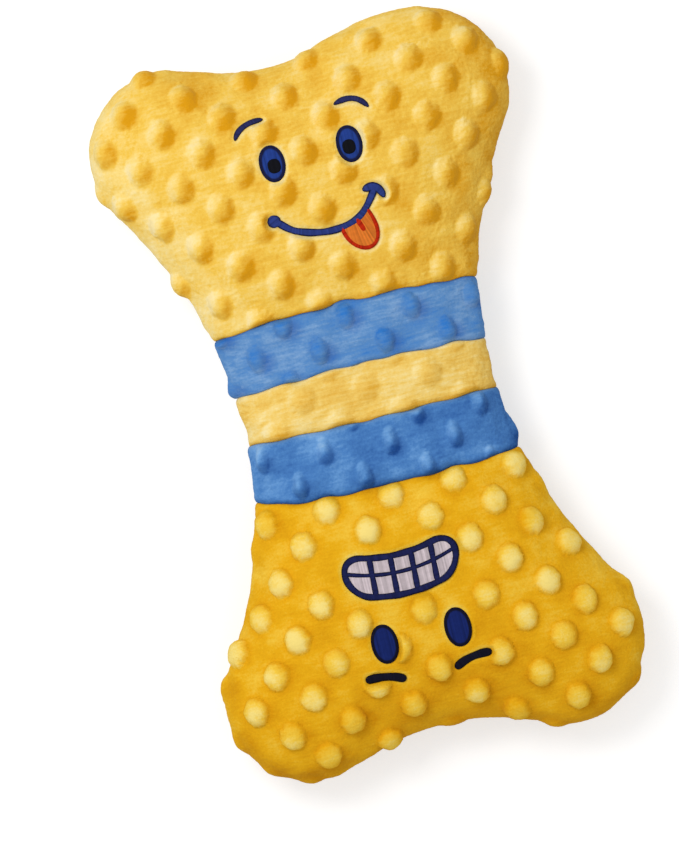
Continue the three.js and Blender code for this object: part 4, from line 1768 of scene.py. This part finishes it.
STRIPS = (
    Strip(
        "upper_panel",
        UPPER_YELLOW,
        DotGrid(
            x=-1.5 * MM,
            y=105 * MM,
            shape=DotShape.SOFT,
            height=3.0 * MM,
            seed=3,
            lean=0.055,
            drift=-1.1 * MM,
            wide=4.9 * MM,
            long=5.6 * MM,
            press=(2.5 * MM, -2.5 * MM),
        ),
        above=None,
        below=UPPER_SEAM,
        crease=0.12 * MM,
        nap=(-0.7, 0.64),
        brushed=(-0.5, 0.0),
        dot_shadow=0.15,
    ),
    Strip(
        "upper_blue_band",
        UPPER_BLUE,
        DotGrid(
            x=-1 * MM,
            y=34.2 * MM,
            shape=DotShape.DOME,
            height=3.6 * MM,
            seed=5,
            lean=-0.08,
            drift=0.5 * MM,
            wide=4.1 * MM,
            long=6.0 * MM,
            press=(2.8 * MM, -2.2 * MM),
        ),
        above=UPPER_SEAM,
        below=UPPER_STRIPE_SEAM,
        crease=0.3 * MM,
        nap=(0.1, -0.25),
        shadow=0.9,
        darkest_slope_shade=-0.4,
    ),
    Strip(
        "centre_band",
        CENTRE_YELLOW,
        DotGrid(x=0, y=3 * MM, shape=DotShape.SOFT, height=1.7 * MM, seed=7, lean=-0.03),
        above=UPPER_STRIPE_SEAM,
        below=LOWER_STRIPE_SEAM,
        crease=0.3 * MM,
        nap=(-0.6, 0.55),
        brushed=(-0.2, 0.0),
    ),
    Strip(
        "lower_blue_band",
        LOWER_BLUE,
        DotGrid(
            x=4.5 * MM,
            y=-23 * MM,
            shape=DotShape.RIDGE,
            height=3.3 * MM,
            seed=9,
            lean=-0.11,
            wide=3.6 * MM,
            long=6.6 * MM,
            taper=1.2,
        ),
        above=LOWER_STRIPE_SEAM,
        below=LOWER_SEAM,
        crease=0.1 * MM,
        nap=(-0.25, 0.75),
        brushed=(-0.3, 0.0),
        dot_shadow=0.15,
        shadow=0.4,
        darkest_slope_shade=-0.35,
        rim_share=0.6,
    ),
    Strip(
        "lower_panel",
        LOWER_YELLOW,
        DotGrid(
            x=1.5 * MM,
            y=-119 * MM,
            shape=DotShape.BALL,
            height=4.2 * MM,
            seed=11,
            drift=-0.35 * MM,
            wide=5.7 * MM,
            long=6.3 * MM,
            rim_inset=2.5 * MM,
        ),
        above=LOWER_SEAM,
        below=None,
        crease=0.1 * MM,
        nap=(0.05, -0.3),
        brushed=(0.0, 0.3),
        dot_shadow=0.3,
        darkest_slope_shade=-0.1,
        rim_share=0.32,
    ),
)


@dataclass
class Cover:
    """The plush cover: five strips at the front and five at the back."""

    pillow: Pillow
    wardrobe: Wardrobe
    cloth: float = 2.0 * MM
    seam_depth: float = 1.2 * MM
    seam_roll: float = 3.2 * MM
    rim_depth: float = 1.0 * MM
    rim_dot_gain: float = 0.4
    gather: float = 0.4 * MM
    gather_fade: float = 6 * MM
    gather_size: Stretch = (7 * MM, 40 * MM, 40 * MM)
    lumps: float = 0.45 * MM
    lump_size: float = 24 * MM
    lump_seed: float = 0.3
    crease_size: Stretch = (26 * MM, 5 * MM, 12 * MM)
    crease_seed: float = 0.5
    pile: float = 0.15 * MM
    tuft_size: float = 1.5 * MM
    tuft_seed: float = 0.7
    fuzz: float = 0.6
    fuzz_size: float = 0.8 * MM
    fuzz_seed: float = 0.9
    dot_clearance: Span = (0.2 * MM, 2.0 * MM)
    stitch_sink: float = 0.4 * MM
    sink_reach: Span = (0.2 * MM, 1.6 * MM)
    # A painted highlight: paler pile in a ring round the embroidery.
    painted_halo: float = 0.25
    painted_halo_reach: Span = (0.5 * MM, 2.0 * MM)
    halves: dict[Side, bpy.types.Mesh] = field(default_factory=dict)

    def halve(self) -> None:
        """Parts the stuffed form along the rim seam."""
        whole = self.pillow.stuffed()
        for side in Side:
            self.halves[side] = self.parted(whole, (0, 0, self.pillow.mid_z), (0, 0, side.value))

    @staticmethod
    def parted(mesh: bpy.types.Mesh, place: Point, ahead: Point) -> bpy.types.Mesh:
        """The part of a mesh that lies ahead of a plane, as a new mesh.

        Args:
            mesh: The mesh, which stays as it is.
            place: A point on the plane.
            ahead: The plane's normal.

        Returns:
            The part.
        """
        bm = bmesh.new()
        bm.from_mesh(mesh)
        whole = [*bm.verts, *bm.edges, *bm.faces]
        plane = {"plane_co": place, "plane_no": ahead, "clear_inner": True}
        bmesh.ops.bisect_plane(bm, geom=whole, dist=MERGE, **plane)
        return mesh_of(bm, mesh.name)

    def along(self, mesh: bpy.types.Mesh, seam: CrossSeam | None, ahead: int) -> bpy.types.Mesh:
        """The part of a mesh on one side of a cross seam.

        Args:
            mesh: The mesh to part, which is used up.
            seam: The seam, or None to keep the whole mesh.
            ahead: 1 to keep what lies above the seam, -1 for what lies below.

        Returns:
            The part as a new mesh.
        """
        if seam is None:
            return mesh
        points = read_points(mesh)
        points[:, 1] -= seam.at(points[:, 0])
        write_points(mesh, points)
        made = self.parted(mesh, (0, 0, 0), (0, ahead, 0))
        bpy.data.meshes.remove(mesh)
        points = read_points(made)
        points[:, 1] += seam.at(points[:, 0])
        write_points(made, points)
        return made

    def panel(self, strip: Strip, side: Side, needlework: Needlework) -> bpy.types.Object:
        """Makes one panel of the cover.

        Args:
            strip: The strip that it belongs to.
            side: The face of the toy that it covers.
            needlework: The embroidery, which presses the cloth down round it at the front.

        Returns:
            The finished panel.
        """
        name = f"{strip.name}_{side.name.lower()}"
        mesh = self.along(self.halves[side].copy(), strip.below, 1)
        mesh = self.along(mesh, strip.above, -1)
        smooth = {"levels": 1, "render_levels": 1, "boundary_smooth": "PRESERVE_CORNERS"}
        mesh = modified(mesh, "SUBSURF", **smooth)
        normals = read_normals(mesh)
        bm = bmesh.new()
        bm.from_mesh(mesh)
        bmesh.ops.solidify(bm, geom=bm.faces[:], thickness=self.cloth)
        bpy.data.meshes.remove(mesh)
        mesh = mesh_of(bm, name)
        has_face = side is Side.FRONT and strip.name.endswith("panel")
        self.raise_pile(mesh, normals, strip, needlework if has_face else None)
        panel = as_object(f"{name}_plush", mesh)
        self.wardrobe.dress(panel, strip.finish)
        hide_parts(name)
        return panel

    def rolled(self, distance: np.ndarray) -> np.ndarray:
        """How far the cloth has risen from a seam, from 0 on it to 1 clear of its rolled edge."""
        return np.sqrt(1 - (1 - np.clip(distance / self.seam_roll, 0, 1)) ** 2)

    def uneven(
        self, skin: np.ndarray, strip: Strip, to_seam: np.ndarray, free: np.ndarray
    ) -> np.ndarray:
        """The gathers beside the seams, and the lumps, creases and pile of a panel.

        Args:
            skin: Places on the panel's outside, one row each.
            strip: The strip that it belongs to.
            to_seam: How far each place lies from the nearest cross seam.
            free: How far the cloth has risen there from every seam.

        Returns:
            How far each place is lifted.
        """
        seed = strip.dots.seed
        gathers = np.exp(-to_seam / self.gather_fade) * ripple(skin, self.gather_size, seed)
        lumps = ripple(skin, self.lump_size, seed + self.lump_seed) * free
        creases = ripple(skin, self.crease_size, seed + self.crease_seed)
        pile = ripple(skin, self.tuft_size, seed + self.tuft_seed)
        pile += self.fuzz * ripple(skin, self.fuzz_size, seed + self.fuzz_seed)
        return self.gather * gathers + self.lumps * lumps + strip.crease * creases + self.pile * pile

    def raise_pile(
        self, mesh: bpy.types.Mesh, normals: np.ndarray, strip: Strip, needlework: Needlework | None
    ) -> None:
        """Gives a panel its seams, dots, lumps and pile, and the numbers that its finish reads, which
        paint highlight, shade and shadow on it.

        Args:
            mesh: The panel's closed mesh, whose first vertices lie outside.
            normals: The outside's normals, one row for each of its vertices.
            strip: The strip that it belongs to.
            needlework: The embroidery, or None for a panel without a face.
        """
        points = read_points(mesh)
        outer = len(normals)
        skin = points[:outer]
        clear = needlework.clearance(skin) if needlework else np.full(outer, np.inf)
        flattened = needlework.flattened if needlework else []
        seams = [seam for seam in (strip.above, strip.below) if seam]
        to_seam = np.min([np.abs(skin[:, 1] - seam.at(skin[:, 0])) for seam in seams], axis=0)
        drawn = self.rolled(to_seam)
        rim_drawn = self.rolled(np.abs(skin[:, 2] - self.pillow.mid_z))
        free = drawn * rim_drawn
        faces, rims, dot_shadow = strip.dots.rises(skin, self.pillow, flattened)
        rims *= drawn * strip.rim_share * (1 + self.rim_dot_gain * rim_drawn)
        dots = np.maximum(faces * free, rims) * smoothstep(clear, *self.dot_clearance)
        lift = self.uneven(skin, strip, to_seam, free) + strip.dots.height * dots
        lift -= self.seam_depth * (1 - drawn) + self.rim_depth * (1 - rim_drawn)
        lift -= self.stitch_sink * (1 - smoothstep(clear, *self.sink_reach))
        points[:outer] = skin + normals * lift[:, None]
        points[:, 2] = np.maximum(points[:, 2], 0)
        write_points(mesh, points)
        # Painted light: slopes paler or deeper by which way they face, a painted highlight round the
        # embroidery, a painted shadow beside each dot, and painted shade in the seams.
        beside = dot_shadow * (1 - dots)
        lean = (read_normals(mesh)[:outer] - normals)[:, :2] @ np.array(strip.nap)
        lean = np.maximum(lean, strip.darkest_slope_shade) + normals[:, :2] @ np.array(strip.brushed)
        lean += self.painted_halo * (1 - smoothstep(clear, *self.painted_halo_reach)) - strip.dot_shadow * beside
        shaded = np.maximum(1 - free, strip.shadow * beside)
        inner = np.zeros(len(points) - outer)
        for key, values in (("dot", dots), ("seam", shaded), ("nap", lean)):
            write_attribute(mesh, key, np.concatenate([values, inner]))


# Stuffing and squeakers


@dataclass
class Stuffing:
    """One portion of loose fibre, which keeps the room of its solid in the frame."""

    node: str
    wardrobe: Wardrobe
    merge: float = 0.01 * MM
    voxel: float = 3.0 * MM
    shrink: float = 0.35 * MM
    tufts: float = 0.45 * MM
    coarse_size: float = 7 * MM
    coarse_seed: float = 1.7
    fine: float = 0.7
    fine_size: float = 3 * MM
    fine_seed: float = 4.1

    def build(self) -> bpy.types.Object:
        """Makes the portion with a tufted surface.

        Returns:
            The finished portion.
        """
        bm = bmesh.new()
        bm.from_mesh(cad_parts[self.node].data)
        bmesh.ops.remove_doubles(bm, verts=bm.verts[:], dist=self.merge)
        mesh = modified(mesh_of(bm, self.node), "REMESH", mode="VOXEL", voxel_size=self.voxel)
        points = read_points(mesh)
        tangle = ripple(points, self.coarse_size, self.coarse_seed)
        tangle += self.fine * ripple(points, self.fine_size, self.fine_seed)
        points += read_normals(mesh) * (self.tufts * tangle - self.shrink)[:, None]
        write_points(mesh, points)
        portion = as_object(f"{self.node}_fibre", modified(mesh, "SUBSURF", levels=1, render_levels=1))
        self.wardrobe.dress(portion, FIBRE)
        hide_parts(self.node)
        return portion


@dataclass
class Squeaker:
    """A reed squeaker: a soft bulb, and the plug and reed pressed into its neck."""

    end: str
    y: float
    mid_z: float
    wardrobe: Wardrobe
    bulb_radius: float = 27 * MM
    bulb_half: float = 11 * MM
    bulb_wall: float = 1.2 * MM
    bulb_power: float = 2.6
    weld: float = 1.4 * MM
    neck: float = 5.75 * MM
    flange_radius: float = 8 * MM
    flange: float = 1.4 * MM
    plug_length: float = 8 * MM
    bore: float = 3.8 * MM
    fit: float = 0.15 * MM
    ease: float = 0.4 * MM
    squeeze: float = 10 * MM
    turns: int = 72
    steps_below: int = 18
    steps_above: int = 16
    steps_inside: int = 32

    def section(self, radius: float, half: float, span: Span, steps: int) -> Drawing:
        """Points on the bulb's flattened section, from one angle above its rim to another.

        Args:
            radius: The section's half width.
            half: Its half height.
            span: The first angle and the last, in radians.
            steps: How many points.

        Returns:
            Places out from the axis and up from the bulb's middle.
        """
        angles = np.linspace(*span, steps)
        power = 2 / self.bulb_power
        out = radius * np.abs(np.cos(angles)) ** power
        up = half * np.sign(np.sin(angles)) * np.abs(np.sin(angles)) ** power
        return tuple(zip(out.tolist(), up.tolist()))

    def spun(self, name: str, profile: Drawing, closed: bool) -> bpy.types.Mesh:
        """Turns a profile about the squeaker's upright axis.

        Args:
            name: The mesh's name.
            profile: Places out from the axis and up from the bulb's middle.
            closed: Whether the profile joins its own start.

        Returns:
            The round mesh.
        """
        bm = bmesh.new()
        row = [bm.verts.new((out, self.y, self.mid_z + up)) for out, up in profile]
        pairs = list(zip(row, row[1:])) + ([(row[-1], row[0])] if closed else [])
        drawn = [*row, *(bm.edges.new(pair) for pair in pairs)]
        turn = {"axis": (0, 0, 1), "cent": (0, self.y, self.mid_z), "angle": 2 * math.pi}
        bmesh.ops.spin(bm, geom=drawn, steps=self.turns, use_merge=True, **turn)
        bmesh.ops.remove_doubles(bm, verts=bm.verts[:], dist=MERGE)
        bmesh.ops.recalc_face_normals(bm, faces=bm.faces[:])
        return mesh_of(bm, name)

    def neck_angle(self, radius: float) -> float:
        """The angle at which the section of a bulb of this radius meets the neck."""
        return math.acos((self.neck / radius) ** (self.bulb_power / 2))

    def bulb_profile(self) -> Drawing:
        """The bulb's wall, from the foot of its axis over the rim and the neck to the inside.

        Returns:
            Places out from the axis and up from the bulb's middle.
        """
        outer = self.bulb_radius
        inner = outer - self.bulb_wall
        foot = -math.pi / 2
        rim = outer + self.weld
        half = self.bulb_wall / 2
        below = self.section(outer, self.bulb_half, (foot, 0), self.steps_below)[1:-1]
        weld = ((outer, -half), (rim, -half), (rim, half), (outer, half))
        up_to_neck = (0, self.neck_angle(outer))
        above = self.section(outer, self.bulb_half, up_to_neck, self.steps_above)[1:]
        back_down = (self.neck_angle(inner), foot)
        inner_half = self.bulb_half - self.bulb_wall
        inside = self.section(inner, inner_half, back_down, self.steps_inside)[:-1]
        return ((0, -self.bulb_half), *below, *weld, *above, *inside, (0, -inner_half))

    def bulb(self) -> bpy.types.Object:
        """The blow-moulded bulb with its welded rim.

        Returns:
            The finished bulb.
        """
        bulb = as_object(f"{self.end}_bulb", self.spun("bulb", self.bulb_profile(), False))
        self.wardrobe.dress(bulb, BULB_PLASTIC)
        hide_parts(f"{self.end}_squeaker_bulb")
        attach(bulb, f"{self.end}_end")
        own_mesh(bulb)
        return bulb

    def plug(self) -> bpy.types.Object:
        """The flanged plug, with its corners eased.

        Returns:
            The finished plug.
        """
        top = self.bulb_half + self.fit
        foot = top - self.plug_length
        lip = top + self.flange
        barrel = self.neck - self.fit
        flange = self.flange_radius
        quarter = self.ease / 4
        profile = (
            (self.bore, foot),
            (barrel - self.ease, foot),
            (barrel - quarter, foot + quarter),
            (barrel, foot + self.ease),
            (barrel, top),
            (flange, top),
            (flange, lip - self.ease),
            (flange - quarter, lip - quarter),
            (flange - self.ease, lip),
            (self.bore, lip),
        )
        plug = as_object(f"{self.end}_plug", self.spun("plug", profile, True))
        self.wardrobe.dress(plug, PLUG_PLASTIC)
        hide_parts(f"{self.end}_squeaker_plug")
        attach(plug, f"{self.end}_voice")
        return plug

    def build(self) -> list[bpy.types.Object]:
        """Makes the bulb and plug, and dresses the reed and what holds it.

        Returns:
            The bulb and the plug.
        """
        finishes = {"reed_holder": PLUG_PLASTIC, "reed_wedge": PLUG_PLASTIC, "reed": REED_FILM}
        for node, finish in finishes.items():
            self.wardrobe.dress(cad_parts[f"{self.end}_{node}"], finish)
        return [self.bulb(), self.plug()]


# How the pieces move


@dataclass(frozen=True)
class Motion:
    """Ties some soft pieces to the frame's bodies, and bakes the placement of the others into their
    meshes.
    """

    mid_z: float
    crown: float = 20 * MM
    seam_crown: float = 18.5 * MM
    end_y: float = 150 * MM
    squeaker_y: float = 98 * MM
    give: float = 0.6

    def bend(self, piece: bpy.types.Object, end: str) -> None:
        """Bakes the placement of a piece of the waist into its mesh.

        Args:
            piece: The piece.
            end: upper or lower; not used.
        """
        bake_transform(piece)

    def dent(self, piece: bpy.types.Object) -> None:
        """Bakes the placement of a piece at the front of an end into its mesh.

        Args:
            piece: The piece.
        """
        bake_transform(piece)

    def carry(self, panel: bpy.types.Object, strip: Strip, side: Side) -> None:
        """Ties a panel of the cover to the body under it, or bakes its placement into its mesh.

        Args:
            panel: The panel.
            strip: The strip that it belongs to.
            side: The face of the toy that it covers.
        """
        end = strip.name.split("_")[0]
        if strip.name == "centre_band":
            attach(panel, "waist")
        elif strip.name.endswith("band"):
            self.bend(panel, end)
        elif side is Side.FRONT:
            self.dent(panel)
        else:
            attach(panel, f"{end}_end")


# Studio


@dataclass(frozen=True)
class Studio:
    """The camera straight above the toy, a soft light from its upper left and a white floor."""

    mid_z: float
    picture: tuple[int, int] = (679, 854)
    toy_centre: Place = (366.8, 394.0)
    pixels_per_metre: float = 2360.0
    roll: float = math.radians(14)
    lens: float = 300.0
    sensor: float = 36.0
    ambient: float = 0.63
    key: float = 3.9
    key_size: float = 0.4
    key_color: tuple[float, float, float] = (1.0, 0.985, 0.96)
    key_place: Point = (-0.34, 0.34, 0.88)
    floor_reach: float = 3.0
    floor_grey: float = 0.62
    floor_glow: float = 0.55

    def camera(self) -> None:
        """Sets the camera so that the toy lies in the picture where the photograph has it."""
        data = bpy.data.cameras.new("camera")
        data.lens = self.lens
        data.sensor_width = self.sensor
        camera = bpy.data.objects.new("camera", data)
        bpy.context.scene.collection.objects.link(camera)
        right = np.array([math.cos(self.roll), -math.sin(self.roll)])
        up = np.array([math.sin(self.roll), math.cos(self.roll)])
        aside = (self.picture[0] / 2 - self.toy_centre[0]) / self.pixels_per_metre
        above = (self.toy_centre[1] - self.picture[1] / 2) / self.pixels_per_metre
        x, y = right * aside + up * above
        away = self.picture[1] / self.pixels_per_metre * self.lens / self.sensor
        camera.location = (x, y, self.mid_z + away)
        camera.rotation_euler = (0, 0, -self.roll)
        bpy.context.scene.camera = camera

    def lamp(self) -> None:
        """Hangs one wide soft lamp."""
        data = bpy.data.lights.new("key", "AREA")
        data.energy = self.key
        data.size = self.key_size
        data.color = self.key_color
        lamp = bpy.data.objects.new("key", data)
        lamp.location = self.key_place
        lamp.rotation_euler = (-Vector(self.key_place)).to_track_quat("-Z", "Y").to_euler()
        bpy.context.scene.collection.objects.link(lamp)

    def seen(self, tree: bpy.types.NodeTree) -> bpy.types.NodeSocket:
        """1 for what the camera sees, also in gloss and glass, and 0 for what only lights the toy.

        Args:
            tree: The node tree to add to.

        Returns:
            The socket that carries the number.
        """
        path = tree.nodes.new("ShaderNodeLightPath")
        total = path.outputs["Is Camera Ray"]
        for name in ("Is Glossy Ray", "Is Transmission Ray"):
            add = tree.nodes.new("ShaderNodeMath")
            add.operation = "MAXIMUM"
            tree.links.new(total, add.inputs[0])
            tree.links.new(path.outputs[name], add.inputs[1])
            total = add.outputs[0]
        return total

    def world(self) -> None:
        """Lights the toy evenly from all round, and shows white behind it."""
        world = bpy.data.worlds.new("studio")
        world.use_nodes = True
        tree = world.node_tree
        back = tree.nodes["Background"]
        back.inputs["Color"].default_value = WHITE_LIGHT
        strength = tree.nodes.new("ShaderNodeMapRange")
        strength.inputs["To Min"].default_value = self.ambient
        strength.inputs["To Max"].default_value = 1.0
        tree.links.new(self.seen(tree), strength.inputs["Value"])
        tree.links.new(strength.outputs["Result"], back.inputs["Strength"])
        bpy.context.scene.world = world

    def floor(self) -> None:
        """Lays a white floor that keeps the toy's shadow."""
        bm = bmesh.new()
        bmesh.ops.create_grid(bm, x_segments=1, y_segments=1, size=self.floor_reach)
        floor = as_object("floor", mesh_of(bm, "floor"))
        shader = Shader("floor")
        grey = (self.floor_grey, self.floor_grey, self.floor_grey, 1)
        shader.fill(shader.surface, {"Base Color": grey, "Roughness": 1.0, "Specular IOR Level": 0.0})
        glow = shader.math("MULTIPLY", self.seen(shader.tree), self.floor_glow)
        shader.fill(shader.surface, {"Emission Color": WHITE_LIGHT, "Emission Strength": glow})
        floor.data.materials.append(shader.material)

    def build(self) -> None:
        """Sets up the whole studio."""
        self.camera()
        self.lamp()
        self.world()
        self.floor()
        bpy.context.scene.view_settings.view_transform = "Standard"


def report(piece: bpy.types.Object) -> None:
    """Logs a finished piece."""
    log.info("%s: %d faces", piece.name, len(piece.data.polygons))


def main() -> None:
    """Builds the toy's pieces in order."""
    logging.basicConfig(level=logging.INFO, format="%(message)s")
    wardrobe = Wardrobe()
    pillow = Pillow()
    motion = Motion(pillow.mid_z)
    Studio(pillow.mid_z).build()
    cover = Cover(pillow, wardrobe)
    cover.halve()
    needlework = Needlework(cover.halves[Side.FRONT], wardrobe)
    for face in (SmilingFace(), GrittedFace()):
        for motif in face.motifs():
            piece = needlework.sew(motif)
            motion.dent(piece)
            report(piece)
    for strip in STRIPS:
        for side in Side:
            panel = cover.panel(strip, side, needlework)
            motion.carry(panel, strip, side)
            report(panel)
    waist = Stuffing("waist_fill", wardrobe).build()
    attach(waist, "waist")
    report(waist)
    for end, sign in (("upper", 1), ("lower", -1)):
        front = Stuffing(f"{end}_fill_front", wardrobe).build()
        motion.dent(front)
        back = Stuffing(f"{end}_fill_back", wardrobe).build()
        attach(back, f"{end}_end")
        bend = Stuffing(f"{end}_bend_fill", wardrobe).build()
        motion.bend(bend, end)
        squeaker = Squeaker(end, sign * motion.squeaker_y, pillow.mid_z, wardrobe)
        for piece in (front, back, bend, *squeaker.build()):
            report(piece)
    for half in cover.halves.values():
        bpy.data.meshes.remove(half)


if __name__ == "__main__":
    main()
